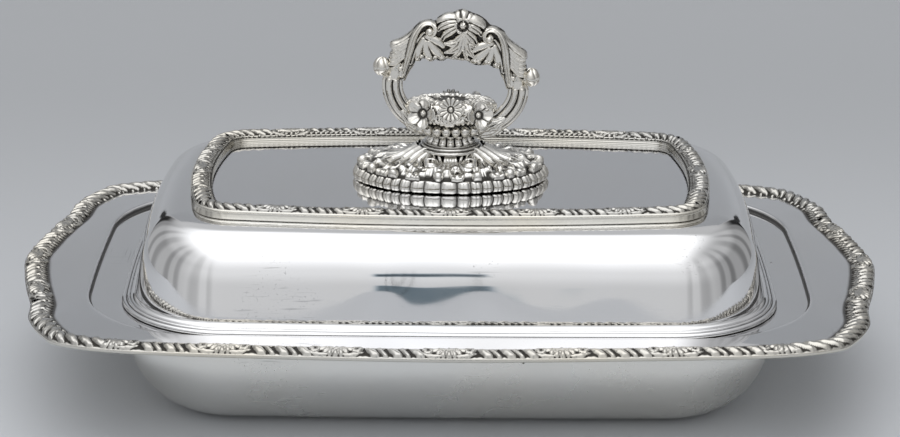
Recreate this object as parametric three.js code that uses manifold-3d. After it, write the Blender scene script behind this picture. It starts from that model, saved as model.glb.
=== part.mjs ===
// Covered vegetable dish with a divided well: a drawn dish with a wide lobed flange, a domed lid
// with a sunken panel, and a cast loop handle that a quarter turn releases from the lid.
// Millimetres. X runs along the dish, Y across it and Z up, from the middle of the underside.
import * as THREE from "three";
import { mergeVertices } from "three/addons/utils/BufferGeometryUtils.js";
import Module from "manifold-3d";

// Sheet metal and fits
const sheet = 1; // thickness of the drawn dish and lid
const seatGap = 0.3; // between soldered or seated pieces that are curved or that move
const runningGap = 0.3; // around the key bolt
const weld = 0.001; // points closer than this are one

// The well and the flange of the dish
const mouthHalfLength = 131.5; // inside of the well at its mouth
const mouthHalfWidth = 88.9;
const mouthCorner = 43;
const mouthEndBow = 0.7; // how far the ends of the mouth bow out
const mouthSideBow = 1;
const mouthRound = 1.6; // rounding between the wall and the ledge
const wellDepth = 43.8; // from the ledge to the floor inside
const wellBend = 31; // inside radius between wall and floor
const ledgeRunEnds = 16.7; // from the mouth to the step
const ledgeRunAcross = 6.1;
const stepCorner = 53;
const stepRise = 1.1; // the flange stands this far above the ledge
const stepRun = 1.2;
const flangeReachEnds = 31.8; // from the step to the rim
const flangeReachAcross = 22.2;

// The rim: a plain band under a border of ribs and leaf tips
const rimBorderWidth = 10;
const rimBorderHeight = 2.1;
const rimRibPitch = 12;
const rimRibScallop = 0.6; // how far the rim draws in between two ribs
const rimRibSlant = 4; // how far a rib leans along the rim over the border's width
const rimLeafReach = 2.4; // how far the leaf tips reach over the flange
const rimLeafPitch = 44;
const rimBandHeight = 1.7;
const rimBandWidth = 2;
const rimBandInset = 0.4;
const rimLap = 6; // how far the border lies over the sheet
const buttGap = 0.3; // between the ends of two lengths of border

// The divider
const dividerThickness = 1.4;
const dividerDrop = 7.6; // its top edge lies this far below the ledge
const dividerBeadWidth = 3.2;
const dividerBeadHeight = 2.6;

// The lid
const lipReach = 3.1; // how far the lip reaches out past the mouth
const lipWireWidth = 1.6;
const lipWireHeight = 0.8;
const bezelGap = 0.6; // between the bezel and the mouth
const bezelThickness = 0.8;
const bezelDepth = 4.6;
const coveReach = 6; // how far the foot of the dome stands in from the lip
const coveRise = 2.8;
const domeInsetEnds = 26.4; // from the lip to the crown
const domeInsetAcross = 29.6;
const domeHeight = 37.1; // from the lip to the crown
const crownCorner = 17;
const crownEndBow = 4.5;
const crownSideBow = 5.5;
const crownWidth = 8.2; // width of the moulding and its border
const panelRise = 1.2; // the panel stands this far above the crown's ledge
const panelRun = 0.4;
const mouldingHeight = 3.9;
const mouldingGroove = 1.1;
const crownBorderHeight = 1.6;
const crownRibPitch = 10;
const crownRibScallop = 0.5;
const crownRibSlant = 3.2;
const crownLeafReach = 1;
const crownLeafPitch = 40;

// The bayonet that holds the handle to the lid
const boltRadius = 2.6;
const keyHalfLength = 7.2;
const keyHalfWidth = 2.2;
const keyHeight = 2.4;
const keyPlateRadius = 14;
const keyPlateThickness = 1.6;
const stopPinRadius = 1;
const stopPinHeight = 3;
const stopPinReach = 5; // from the bolt's axis along the key

// The handle
const footHalfLength = 40.6;
const footHalfWidth = 26.4;
const footEdgeHeight = 3.8;
const footHeight = 12.3;
const footTopRadius = 12.8;
const footScallop = 0.9;
const collarRadius = 13.6;
const collarHeight = 3.3;
const neckRadius = 10;
const neckHeight = 3.4;
const neckFlute = 0.6;
const basketHeight = 13.5;
const basketHalfLength = 18.4;
const basketHalfDepth = 10.6;
const basketFlute = 0.5;
const boltSocketDepth = 6.5; // how far the bolt reaches into the basket
const loopRise = 19.5; // from the basket's underside to the middle of the loop
const loopDrop = 19.5; // how far the loop's centre line falls below its middle
const openingHalfWidth = 21.8;
const openingHalfHeight = 9.9;
const armWidth = 9;
const armDepth = 8;
const armReed = 0.5;
const crestHeight = 18;
const crestDepth = 9.4;
const crestLeaf = 0.8;
const knuckleHalfWidth = 2.3;
const knuckleHalfHeight = 4.2;
const knuckleHalfDepth = 4.4;
const basketRosetteRadius = 4.3;
const crestRosetteRadius = 5;
const rosetteThickness = 4;
const rosetteRelief = 1.5; // how far a rosette stands out
const rosetteTilt = THREE.MathUtils.degToRad(42);
const crestRosetteDrop = 1.6; // its middle below the top of the crest
const loopLean = THREE.MathUtils.degToRad(4); // the old loop has been pushed over to the right

// Levels
const ledgeLevel = wellDepth + sheet;
const flangeLevel = ledgeLevel + stepRise;
const lipLevel = ledgeLevel + seatGap;
const crownLevel = lipLevel + domeHeight;
const panelLevel = crownLevel + panelRise;
const mouldingTop = crownLevel + mouldingHeight;
const footLevel = panelLevel + seatGap;
const collarLevel = footLevel + footHeight + seatGap;
const neckLevel = collarLevel + collarHeight + seatGap;
const basketLevel = neckLevel + neckHeight + seatGap;
const loopLevel = basketLevel + loopRise;

// How finely curves are divided
const endSteps = 2;
const cornerSteps = 6;
const sideSteps = 4;
const quarterSteps = endSteps + cornerSteps + sideSteps;
const bendSteps = 5;
const domeSteps = 6;
const domePower = 2.6; // 2 would make the dome's section an ellipse, and more makes it squarer
const bowRounds = 6; // rounds in which an outline's corners settle against its bows
const bandStations = 72;
const ringSides = 40;
const neckSides = 24;
const basketSides = 32;
const lobes = 8;
const roundSides = 16;
const crestStations = 15;
const crestSides = 10;
const armSteps = 9;
const armReeds = 6;
const petalCount = 8;

// Outlines seen from above

// A quarter outline, from the +X end to the +Y side, becomes the whole of it, counterclockwise.
function mirrored(quarter) {
  const last = quarter.length - 1;
  const first = quarter.slice(0, last);
  const back = quarter.slice(1).reverse();
  const flip = (points, x, y) => points.map((p) => new THREE.Vector2(p.x * x, p.y * y));
  return [...flip(first, 1, 1), ...flip(back, -1, 1), ...flip(first, -1, -1), ...flip(back, 1, -1)];
}

// A rounded rectangle whose ends and sides bow out. The half sizes reach to the middle of the bows.
function bowedOutline({ halfLength, halfWidth, corner, endBow, sideBow }) {
  const radius = Math.min(corner, (halfLength - endBow) / 2, halfWidth - sideBow);
  const endX = halfLength - endBow;
  const sideY = halfWidth - sideBow;
  let endY = sideY - radius;
  let sideX = endX - radius;
  let fromEnd = 0;
  let toSide = 0;
  for (let round = 0; round < bowRounds; round++) {
    fromEnd = Math.atan2(2 * endBow, Math.max(endY, weld));
    toSide = Math.atan2(2 * sideBow, sideX);
    endY = Math.max(sideY - radius * (Math.cos(toSide) - Math.sin(fromEnd)), weld);
    sideX = endX - radius * (Math.cos(fromEnd) - Math.sin(toSide));
  }
  const centre = new THREE.Vector2(endX - radius * Math.cos(fromEnd), sideY - radius * Math.cos(toSide));
  const quarter = [];
  for (let k = 0; k < endSteps; k++) {
    const share = k / endSteps;
    quarter.push(new THREE.Vector2(halfLength - endBow * share * share, endY * share));
  }
  for (let k = 0; k <= cornerSteps; k++) {
    const angle = fromEnd + ((Math.PI / 2 - toSide - fromEnd) * k) / cornerSteps;
    const turned = new THREE.Vector2(Math.cos(angle), Math.sin(angle));
    quarter.push(turned.multiplyScalar(radius).add(centre));
  }
  for (let k = sideSteps - 1; k >= 0; k--) {
    const share = k / sideSteps;
    quarter.push(new THREE.Vector2(sideX * share, halfWidth - sideBow * share * share));
  }
  return mirrored(quarter);
}

function grown(size, by) {
  return {
    ...size,
    halfLength: size.halfLength + by,
    halfWidth: size.halfWidth + by,
    corner: Math.max(size.corner + by, weld),
  };
}

function between(outline, other, share) {
  return outline.map((point, k) => point.clone().lerp(other[k], share));
}

const mouth = {
  halfLength: mouthHalfLength,
  halfWidth: mouthHalfWidth,
  corner: mouthCorner,
  endBow: mouthEndBow,
  sideBow: mouthSideBow,
};
const lip = grown(mouth, lipReach);
const step = {
  ...mouth,
  halfLength: mouthHalfLength + ledgeRunEnds,
  halfWidth: mouthHalfWidth + ledgeRunAcross,
  corner: stepCorner,
};
const crown = {
  halfLength: lip.halfLength - domeInsetEnds,
  halfWidth: lip.halfWidth - domeInsetAcross,
  corner: crownCorner,
  endBow: crownEndBow,
  sideBow: crownSideBow,
};

// The rim swells into a lobe at each end, draws in at a notch and rounds a corner lobe.
const rimHalfLength = step.halfLength + flangeReachEnds;
const rimHalfWidth = step.halfWidth + flangeReachAcross;
const rimShares = [
  [1, 0],
  [0.987, 0.171],
  [0.967, 0.341],
  [0.944, 0.495],
  [0.933, 0.648],
  [0.892, 0.794],
  [0.844, 0.875],
  [0.694, 0.941],
  [0.361, 0.98],
  [0, 1],
];
const notchShare = 0.495; // of the rim's half width, where the end lobe stops

function closedCurve(outline) {
  const points = outline.map((p) => new THREE.Vector3(p.x, p.y, 0));
  const curve = new THREE.CatmullRomCurve3(points, true, "centripetal");
  curve.arcLengthDivisions = points.length * 2 * quarterSteps;
  return curve;
}

const rimCurve = closedCurve(
  mirrored(rimShares.map(([x, y]) => new THREE.Vector2(x * rimHalfLength, y * rimHalfWidth))),
);
const crownCurve = closedCurve(bowedOutline(crown));

// A point beside a curve: inset towards the middle, shifted along the curve and raised.
function beside(curve, share, inset, shift, level) {
  const along = (((share + shift / curve.getLength()) % 1) + 1) % 1;
  const point = curve.getPointAt(along);
  const tangent = curve.getTangentAt(along);
  return new THREE.Vector3(point.x - tangent.y * inset, point.y + tangent.x * inset, level);
}

// Bodies from rings of points

function ringAt(outline, level) {
  return outline.map((p) => new THREE.Vector3(p.x, p.y, level));
}

function ovalRing(halfLength, halfWidth, sides, level, waves = 0, depth = 0) {
  const ring = [];
  for (let k = 0; k < sides; k++) {
    const angle = (k / sides) * 2 * Math.PI;
    const swell = depth * Math.cos(waves * angle);
    ring.push(
      new THREE.Vector3((halfLength + swell) * Math.cos(angle), (halfWidth + swell) * Math.sin(angle), level),
    );
  }
  return ring;
}

// The triangles that close a flat ring.
function capTriangles(ring) {
  const normal = new THREE.Vector3();
  const middle = ring.reduce((sum, p) => sum.add(p), new THREE.Vector3()).divideScalar(ring.length);
  ring.forEach((p, k) => {
    const next = ring[(k + 1) % ring.length];
    normal.add(p.clone().sub(middle).cross(next.clone().sub(middle)));
  });
  normal.normalize();
  const across = ring[0].clone().sub(middle);
  across.addScaledVector(normal, -across.dot(normal)).normalize();
  const up = normal.clone().cross(across);
  const flat = ring.map((p) => {
    const arm = p.clone().sub(middle);
    return new THREE.Vector2(arm.dot(across), arm.dot(up));
  });
  return THREE.ShapeUtils.triangulateShape(flat, []);
}

// Joins each ring to the next. A looped body joins its last ring to its first, and any other is capped.
function skinned(rings, looped = false) {
  const count = rings[0].length;
  const index = [];
  const bands = looped ? rings.length : rings.length - 1;
  for (let r = 0; r < bands; r++) {
    const here = r * count;
    const there = ((r + 1) % rings.length) * count;
    for (let k = 0; k < count; k++) {
      const next = (k + 1) % count;
      index.push(here + k, here + next, there + next, here + k, there + next, there + k);
    }
  }
  if (!looped) {
    const last = (rings.length - 1) * count;
    for (const [a, b, c] of capTriangles(rings[0])) index.push(c, b, a);
    for (const [a, b, c] of capTriangles(rings[rings.length - 1])) index.push(last + a, last + b, last + c);
  }
  const geometry = new THREE.BufferGeometry().setFromPoints(rings.flat());
  geometry.setIndex(index);
  return facingOut(geometry);
}

function facingOut(geometry) {
  const place = geometry.getAttribute("position");
  const index = geometry.index.array;
  const [a, b, c] = [new THREE.Vector3(), new THREE.Vector3(), new THREE.Vector3()];
  let volume = 0;
  for (let k = 0; k < index.length; k += 3) {
    a.fromBufferAttribute(place, index[k]);
    b.fromBufferAttribute(place, index[k + 1]);
    c.fromBufferAttribute(place, index[k + 2]);
    volume += a.dot(b.cross(c));
  }
  if (volume < 0) {
    const turned = Array.from(index).reverse();
    geometry.setIndex(turned);
  }
  return geometry;
}

// Cutting and joining
const wasm = await Module();
wasm.setup();

function solidOf(geometry) {
  const bare = geometry.clone();
  bare.deleteAttribute("normal");
  bare.deleteAttribute("uv");
  const merged = mergeVertices(bare, weld);
  return new wasm.Manifold(
    new wasm.Mesh({
      numProp: 3,
      vertProperties: merged.getAttribute("position").array,
      triVerts: new Uint32Array(merged.index.array),
    }),
  );
}

function geometryOf(solid) {
  const { numProp, vertProperties, triVerts } = solid.getMesh();
  const geometry = new THREE.BufferGeometry();
  geometry.setAttribute("position", new THREE.BufferAttribute(vertProperties, numProp));
  geometry.setIndex(Array.from(triVerts));
  return geometry;
}

function cut(geometry, tool) {
  return geometryOf(solidOf(geometry).subtract(solidOf(tool)));
}

// Finishes and pieces
const finishes = {
  plate: { color: 0xc9cacb, roughness: 0.08, metalness: 1 },
  border: { color: 0xc4c0b6, roughness: 0.22, metalness: 1 },
  casting: { color: 0xc6c3ba, roughness: 0.2, metalness: 1 },
  fitting: { color: 0xb8b2a2, roughness: 0.35, metalness: 1 },
};
const dish = new THREE.Group();

function piece(name, geometry, finish) {
  const mesh = new THREE.Mesh(geometry, new THREE.MeshStandardMaterial(finishes[finish]));
  mesh.name = name;
  dish.add(mesh);
  return mesh;
}

// The dish body: one sheet from the floor up the wall, over the ledge and the step to the rim.
const bend = Math.min(wellBend, wellDepth - dividerDrop - dividerBeadHeight - seatGap);

// Points round a bend between wall and floor, from the wall down, as [inset, level] pairs.
function bendPoints(radius, level) {
  const points = [];
  for (let k = 0; k <= bendSteps; k++) {
    const angle = (k / bendSteps) * (Math.PI / 2);
    points.push([radius * (1 - Math.cos(angle)), level - radius * Math.sin(angle)]);
  }
  return points;
}

function bendRings(wall, radius, level) {
  return bendPoints(radius, level).map(([inset, height]) => ringAt(bowedOutline(grown(wall, -inset)), height));
}

function dishBody() {
  const bendLevel = sheet + bend;
  const inner = bowedOutline(mouth);
  const outside = grown(mouth, sheet);
  const stepFoot = bowedOutline(step);
  const stepTop = bowedOutline(grown(step, stepRun));
  const edge = [];
  for (let k = 0; k < 4 * quarterSteps; k++) {
    edge.push(beside(rimCurve, k / (4 * quarterSteps), rimBorderWidth - rimLap, 0, 0));
  }
  const under = [
    ...bendRings(outside, bend + sheet, bendLevel).reverse(),
    ringAt(bowedOutline(outside), ledgeLevel - mouthRound),
    ringAt(bowedOutline(grown(outside, mouthRound - sheet)), ledgeLevel - sheet),
    ringAt(stepFoot, ledgeLevel - sheet),
    ringAt(stepTop, flangeLevel - sheet),
    ringAt(edge, flangeLevel - sheet),
  ];
  const over = [
    ringAt(edge, flangeLevel),
    ringAt(stepTop, flangeLevel),
    ringAt(stepFoot, ledgeLevel),
    ringAt(bowedOutline(grown(mouth, mouthRound)), ledgeLevel),
    ringAt(inner, ledgeLevel - mouthRound),
    ...bendRings(mouth, bend, bendLevel),
  ];
  return skinned([...under, ...over]);
}

// A ring with one section all the way round, given as [inset, level] pairs.
function ringBody(curve, section, stations) {
  const rings = [];
  for (let k = 0; k < stations; k++) {
    rings.push(section.map(([inset, level]) => beside(curve, k / stations, inset, 0, level)));
  }
  return skinned(rings, true);
}

function rimBand() {
  const outside = rimBandInset;
  const inside = rimBandInset + rimBandWidth;
  const bottom = flangeLevel - rimBandHeight;
  return ringBody(
    rimCurve,
    [
      [outside, bottom],
      [outside, flangeLevel],
      [inside, flangeLevel],
      [inside, bottom],
    ],
    bandStations,
  );
}

// The section of a border: a rounded ridge, as shares of its width and height.
const borderShares = [
  [0, 0],
  [0.01, 0.35],
  [0.12, 0.72],
  [0.46, 1],
  [0.82, 0.52],
  [1, 0],
];
const valleyShare = 0.6; // height between two ribs, of the height on a rib

// One length of border: slanting ribs, with a leaf tip at each leaf pitch.
function borderLength(curve, from, to, size) {
  const length = (to - from) * curve.getLength();
  const ribs = Math.max(1, Math.round(length / size.ribPitch));
  const trim = buttGap / 2 / curve.getLength();
  const start = from + trim;
  const span = to - from - 2 * trim;
  const rings = [];
  for (let k = 0; k <= 2 * ribs; k++) {
    const onRib = k % 2;
    const share = start + (span * k) / (2 * ribs);
    const leafPhase = (share - (from + to) / 2) * curve.getLength() * ((2 * Math.PI) / size.leafPitch);
    const leaf = size.leafReach * Math.max(0, Math.cos(leafPhase)) ** 3;
    const height = size.height * (onRib ? 1 : valleyShare);
    const outside = onRib ? 0 : size.scallop;
    const ring = borderShares.map(([across, up], place) => {
      const inside = size.width + (place === borderShares.length - 1 ? leaf : 0);
      const inset = outside + (inside - outside) * across;
      return beside(curve, share, inset, size.slant * across, size.level + height * up);
    });
    rings.push(ring);
  }
  return skinned(rings);
}

const rimBorder = {
  width: rimBorderWidth,
  height: rimBorderHeight,
  ribPitch: rimRibPitch,
  scallop: rimRibScallop,
  slant: rimRibSlant,
  leafReach: rimLeafReach,
  leafPitch: rimLeafPitch,
  level: flangeLevel,
};
const crownBorder = {
  width: crownWidth,
  height: crownBorderHeight,
  ribPitch: crownRibPitch,
  scallop: crownRibScallop,
  slant: crownRibSlant,
  leafReach: crownLeafReach,
  leafPitch: crownLeafPitch,
  level: mouldingTop,
};

// Four lengths of border meet where the curve first reaches the given distance from the X axis.
function borderPieces(prefix, curve, jointY, size) {
  const stations = curve.getSpacedPoints(quarterSteps * bandStations);
  const joint = stations.findIndex((p) => p.y >= jointY) / (stations.length - 1);
  const half = 0.5;
  piece(`${prefix}_right`, borderLength(curve, -joint, joint, size), "border");
  piece(`${prefix}_back`, borderLength(curve, joint, half - joint, size), "border");
  piece(`${prefix}_left`, borderLength(curve, half - joint, half + joint, size), "border");
  piece(`${prefix}_front`, borderLength(curve, half + joint, 1 - joint, size), "border");
}

piece("dish_body", dishBody(), "plate");
piece("rim_band", rimBand(), "border");
borderPieces("rim_border", rimCurve, rimHalfWidth * notchShare, rimBorder);

// The divider: a plate across the well that follows its wall and floor, with a bead along the top.
const dividerTop = ledgeLevel - dividerDrop - dividerBeadHeight;

function dividerPlate() {
  const side = mouthHalfWidth - seatGap;
  const wall = bendPoints(bend - seatGap, sheet + bend).map(([inset, level]) => [side - inset, level]);
  const right = [[side, dividerTop], ...wall];
  const left = right.map(([y, level]) => [-y, level]);
  const outline = new THREE.Shape([...left, ...right.reverse()].map(([y, level]) => new THREE.Vector2(y, level)));
  const plate = new THREE.ExtrudeGeometry(outline, { depth: dividerThickness, bevelEnabled: false });
  plate.translate(0, 0, -dividerThickness / 2);
  plate.rotateX(Math.PI / 2);
  plate.rotateZ(Math.PI / 2);
  return plate;
}

function dividerBead() {
  const half = dividerBeadWidth / 2;
  const shoulder = dividerBeadHeight - half;
  const outline = new THREE.Shape();
  outline.moveTo(-half, 0);
  outline.lineTo(half, 0);
  outline.lineTo(half, shoulder);
  outline.absarc(0, shoulder, half, 0, Math.PI);
  const length = 2 * (mouthHalfWidth - mouthSideBow - bezelGap - bezelThickness - seatGap);
  const bead = new THREE.ExtrudeGeometry(outline, {
    depth: length,
    bevelEnabled: false,
    curveSegments: bendSteps,
  });
  bead.translate(0, 0, -length / 2);
  bead.rotateX(Math.PI / 2);
  bead.translate(0, 0, dividerTop + seatGap);
  return bead;
}

piece("divider_plate", dividerPlate(), "plate");
piece("divider_bead", dividerBead(), "plate");

// The lid: one sheet from the lip through a cove, up over the dome to the crown's ledge and the panel.
const lidOutlines = { lip: bowedOutline(lip), crown: bowedOutline(crown) };

// The lid's outline at an inset from the lip, measured at the ends.
function lidOutline(inset) {
  if (inset <= domeInsetEnds) return between(lidOutlines.lip, lidOutlines.crown, inset / domeInsetEnds);
  return bowedOutline(grown(crown, domeInsetEnds - inset));
}

// Rings up the dome. Its foot stands in by the given inset and its top ends at the given level.
function domeRings(foot, top) {
  const rings = [];
  const footLevelHere = lipLevel + sheet + coveRise;
  for (let k = 0; k <= domeSteps; k++) {
    const angle = (k / domeSteps) * (Math.PI / 2);
    const inset = domeInsetEnds - (domeInsetEnds - foot) * Math.cos(angle) ** (2 / domePower);
    const level = footLevelHere + (top - footLevelHere) * Math.sin(angle) ** (2 / domePower);
    rings.push(ringAt(lidOutline(inset), level));
  }
  return rings;
}

const panelInset = domeInsetEnds + crownWidth + seatGap;

function keyHole(gap, bottom, top) {
  const hole = new THREE.Path();
  const round = boltRadius + gap;
  const halfWidth = keyHalfWidth + gap;
  const halfLength = keyHalfLength + gap;
  const opens = Math.asin(halfWidth / round);
  hole.moveTo(halfWidth, round * Math.cos(opens));
  hole.lineTo(halfWidth, halfLength);
  hole.lineTo(-halfWidth, halfLength);
  hole.lineTo(-halfWidth, round * Math.cos(opens));
  hole.absarc(0, 0, round, Math.PI / 2 + opens, 1.5 * Math.PI - opens);
  hole.lineTo(-halfWidth, -halfLength);
  hole.lineTo(halfWidth, -halfLength);
  hole.lineTo(halfWidth, -round * Math.cos(opens));
  hole.absarc(0, 0, round, opens - Math.PI / 2, Math.PI / 2 - opens);
  const shape = new THREE.Shape(hole.getPoints(2));
  const tool = new THREE.ExtrudeGeometry(shape, { depth: top - bottom, bevelEnabled: false });
  tool.translate(0, 0, bottom);
  return tool;
}

function lidShell() {
  const covePoint = (coveReach + lipWireWidth) / 2;
  const inside = [
    ringAt(lidOutline(panelInset + panelRun + sheet), panelLevel - sheet),
    ringAt(lidOutline(panelInset + sheet), crownLevel - sheet),
    ...domeRings(coveReach + sheet, crownLevel - sheet).reverse(),
    ringAt(lidOutline(coveReach + sheet), lipLevel),
  ];
  const outside = [
    ringAt(lidOutline(0), lipLevel),
    ringAt(lidOutline(0), lipLevel + sheet),
    ringAt(lidOutline(covePoint), lipLevel + sheet),
    ringAt(lidOutline((covePoint + 3 * coveReach) / 4), lipLevel + sheet + coveRise / 4),
    ...domeRings(coveReach, crownLevel),
    ringAt(lidOutline(panelInset), crownLevel),
    ringAt(lidOutline(panelInset + panelRun), panelLevel),
  ];
  const overrun = sheet;
  const hole = keyHole(runningGap, panelLevel - sheet - overrun, panelLevel + overrun);
  return cut(skinned([...inside, ...outside]), hole);
}

// A ring built from whole outlines, given as [outline, level] pairs.
function outlineRing(section) {
  return skinned(
    section.map(([outline, level]) => ringAt(outline, level)),
    true,
  );
}

function lipWire() {
  const bottom = lipLevel + sheet;
  const top = bottom + lipWireHeight;
  const outer = lidOutline(0);
  const inner = lidOutline(lipWireWidth);
  return outlineRing([
    [inner, bottom],
    [outer, bottom],
    [outer, top],
    [inner, top],
  ]);
}

function lidBezel() {
  const outer = bowedOutline(grown(mouth, -bezelGap));
  const inner = bowedOutline(grown(mouth, -bezelGap - bezelThickness));
  const bottom = lipLevel - bezelDepth;
  return outlineRing([
    [inner, bottom],
    [outer, bottom],
    [outer, lipLevel],
    [inner, lipLevel],
  ]);
}

// The crown's moulding: two steps with a groove between them, heights as shares of the moulding's.
const mouldingShares = [0.36, 0.5, 0.74];

function crownMoulding() {
  const outer = bowedOutline(crown);
  const groove = bowedOutline(grown(crown, -mouldingGroove));
  const inner = bowedOutline(grown(crown, -crownWidth));
  const [shoulder, low, high] = mouldingShares.map((share) => crownLevel + share * mouldingHeight);
  return outlineRing([
    [inner, crownLevel],
    [outer, crownLevel],
    [outer, shoulder],
    [groove, low],
    [groove, high],
    [outer, mouldingTop],
    [inner, mouldingTop],
  ]);
}

piece("lid_shell", lidShell(), "plate");
piece("lid_lip_wire", lipWire(), "border");
piece("lid_bezel", lidBezel(), "plate");
piece("lid_moulding", crownMoulding(), "border");
borderPieces("lid_border", crownCurve, crown.halfWidth - crownSideBow - crownCorner / 2, crownBorder);

// The bayonet: a plate with a keyhole under the panel, two stop pins and a bolt with a cross key.
const keyPlateTop = panelLevel - sheet;
const keyPlateBottom = keyPlateTop - keyPlateThickness;

function keyPlate() {
  const plate = new THREE.CylinderGeometry(keyPlateRadius, keyPlateRadius, keyPlateThickness, ringSides);
  plate.rotateX(Math.PI / 2);
  plate.translate(0, 0, keyPlateTop - keyPlateThickness / 2);
  const overrun = keyPlateThickness;
  return cut(plate, keyHole(runningGap, keyPlateBottom - overrun, keyPlateTop + overrun));
}

// A pin beside the key where its turn ends. The key swings clear of it by twice the running gap.
function stopPin(x, y) {
  const pin = new THREE.CylinderGeometry(stopPinRadius, stopPinRadius, stopPinHeight, roundSides);
  pin.rotateX(Math.PI / 2);
  pin.translate(x, y, keyPlateBottom - stopPinHeight / 2);
  return pin;
}

function keyBolt() {
  const bottom = keyPlateBottom - runningGap - keyHeight;
  const top = basketLevel + boltSocketDepth - runningGap;
  const shank = new THREE.CylinderGeometry(boltRadius, boltRadius, top - bottom, roundSides);
  shank.rotateX(Math.PI / 2);
  shank.translate(0, 0, (top + bottom) / 2);
  const key = new THREE.BoxGeometry(2 * keyHalfLength, 2 * keyHalfWidth, keyHeight);
  key.translate(0, 0, bottom + keyHeight / 2);
  return geometryOf(solidOf(shank).add(solidOf(key)));
}

const stopPinSide = keyHalfWidth + stopPinRadius + 2 * runningGap;
piece("key_plate", keyPlate(), "fitting");
piece("stop_pin_locked", stopPin(stopPinReach, -stopPinSide), "fitting");
piece("stop_pin_open", stopPin(-stopPinSide, stopPinReach), "fitting");
piece("key_bolt", keyBolt(), "fitting");

// The handle's foot: an oval mound of leaves with a scalloped edge, as shares of its reach and height.
const footShares = [
  [0.94, 0.5],
  [0.84, 0.64],
  [0.68, 0.6],
  [0.52, 0.74],
];
const bore = boltRadius + runningGap;

function footPlate() {
  const edgeTop = footLevel + footEdgeHeight;
  const waves = ringSides / 2;
  const oval = (share, level, depth) =>
    ovalRing(footHalfLength * share, footHalfWidth * share, ringSides, level, waves, depth);
  const mound = footShares.map(([reach, rise]) => oval(reach, footLevel + footHeight * rise, footScallop / 2));
  const footTop = footLevel + footHeight;
  return skinned(
    [
      ovalRing(bore, bore, ringSides, footLevel),
      oval(1, footLevel, footScallop),
      oval(1, edgeTop, footScallop),
      ...mound,
      ovalRing(footTopRadius, footTopRadius, ringSides, footTop),
      ovalRing(bore, bore, ringSides, footTop),
    ],
    true,
  );
}

// The collar: a plain rolled ring between the foot and the neck.
const collarShares = [
  [0.9, 0],
  [1, 0.3],
  [1, 0.62],
  [0.86, 1],
];

function collar() {
  const profile = collarShares.map(
    ([reach, rise]) => new THREE.Vector2(collarRadius * reach, collarLevel + collarHeight * rise),
  );
  const low = new THREE.Vector2(bore, collarLevel);
  const high = new THREE.Vector2(bore, collarLevel + collarHeight);
  const ring = new THREE.LatheGeometry([low, ...profile, high, low.clone()], neckSides);
  ring.rotateX(Math.PI / 2);
  return facingOut(mergeBare(ring));
}

function mergeBare(geometry) {
  geometry.deleteAttribute("normal");
  geometry.deleteAttribute("uv");
  return mergeVertices(geometry, weld);
}

// The neck: a fluted waist.
const neckShares = [
  [1, 0],
  [0.9, 0.45],
  [1.04, 1],
];

function neck() {
  const flutes = neckSides / 2;
  const waist = neckShares.map(([reach, rise]) => {
    const radius = neckRadius * reach;
    return ovalRing(radius, radius, neckSides, neckLevel + neckHeight * rise, flutes, neckFlute);
  });
  const top = neckLevel + neckHeight;
  return skinned(
    [ovalRing(bore, bore, neckSides, neckLevel), ...waist, ovalRing(bore, bore, neckSides, top)],
    true,
  );
}

// The basket: a flattened cup of petals on a round bead, closed by a low mound. Its rings are given
// as shares of its half length, half depth and height.
const basketShoulderShare = 0.8; // height of the rosettes' middles
const basketShares = [
  [0.52, 0.9, 0],
  [0.6, 0.96, 0.08],
  [0.74, 1, 0.2],
  [0.74, 0.98, 0.36],
  [0.9, 1, 0.56],
  [1, 1, 0.8],
  [0.93, 0.9, 0.94],
  [0.5, 0.5, 1],
];

function basket(gap) {
  return basketShares.map(([along, across, rise]) =>
    ovalRing(
      basketHalfLength * along + gap,
      basketHalfDepth * across + gap,
      basketSides,
      basketLevel + basketHeight * rise,
      lobes,
      basketFlute,
    ),
  );
}

function basketBody() {
  const socketTop = basketLevel + boltSocketDepth;
  return skinned([
    ovalRing(bore, bore, basketSides, socketTop),
    ovalRing(bore, bore, basketSides, basketLevel),
    ...basket(0),
  ]);
}

// The loop: two reeded arms that rise from the basket to a crest of leaves. It leans about the
// middle of the collar.
function leaned(geometry) {
  geometry.translate(0, 0, -collarLevel);
  geometry.rotateY(loopLean);
  geometry.translate(0, 0, collarLevel);
  return geometry;
}

const armStart = THREE.MathUtils.degToRad(-64);

function loopArm(side) {
  const points = [];
  const halfWidth = openingHalfWidth + armWidth / 2;
  for (let k = 0; k <= armSteps; k++) {
    const angle = armStart * (1 - k / armSteps);
    const x = side * halfWidth * Math.cos(angle);
    points.push(new THREE.Vector3(x, 0, loopLevel + loopDrop * Math.sin(angle)));
  }
  const section = new THREE.Shape();
  const sides = 2 * armReeds;
  for (let k = 0; k < sides; k++) {
    const angle = (k / sides) * 2 * Math.PI;
    const swell = armReed * Math.cos(armReeds * angle);
    const x = (armDepth / 2 - armReed + swell) * Math.cos(angle);
    const y = (armWidth / 2 - armReed + swell) * Math.sin(angle);
    if (k) section.lineTo(x, y);
    else section.moveTo(x, y);
  }
  section.closePath();
  const arm = new THREE.ExtrudeGeometry(section, {
    extrudePath: new THREE.CatmullRomCurve3(points),
    steps: armSteps,
    bevelEnabled: false,
  });
  return cut(leaned(arm), skinned(basket(seatGap)));
}

// A point on the loop's outer edge, at an angle above the middle.
function crestPoint(angle, halfWidth, halfHeight) {
  return new THREE.Vector3(halfWidth * Math.cos(angle), 0, loopLevel + halfHeight * Math.sin(angle));
}

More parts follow.
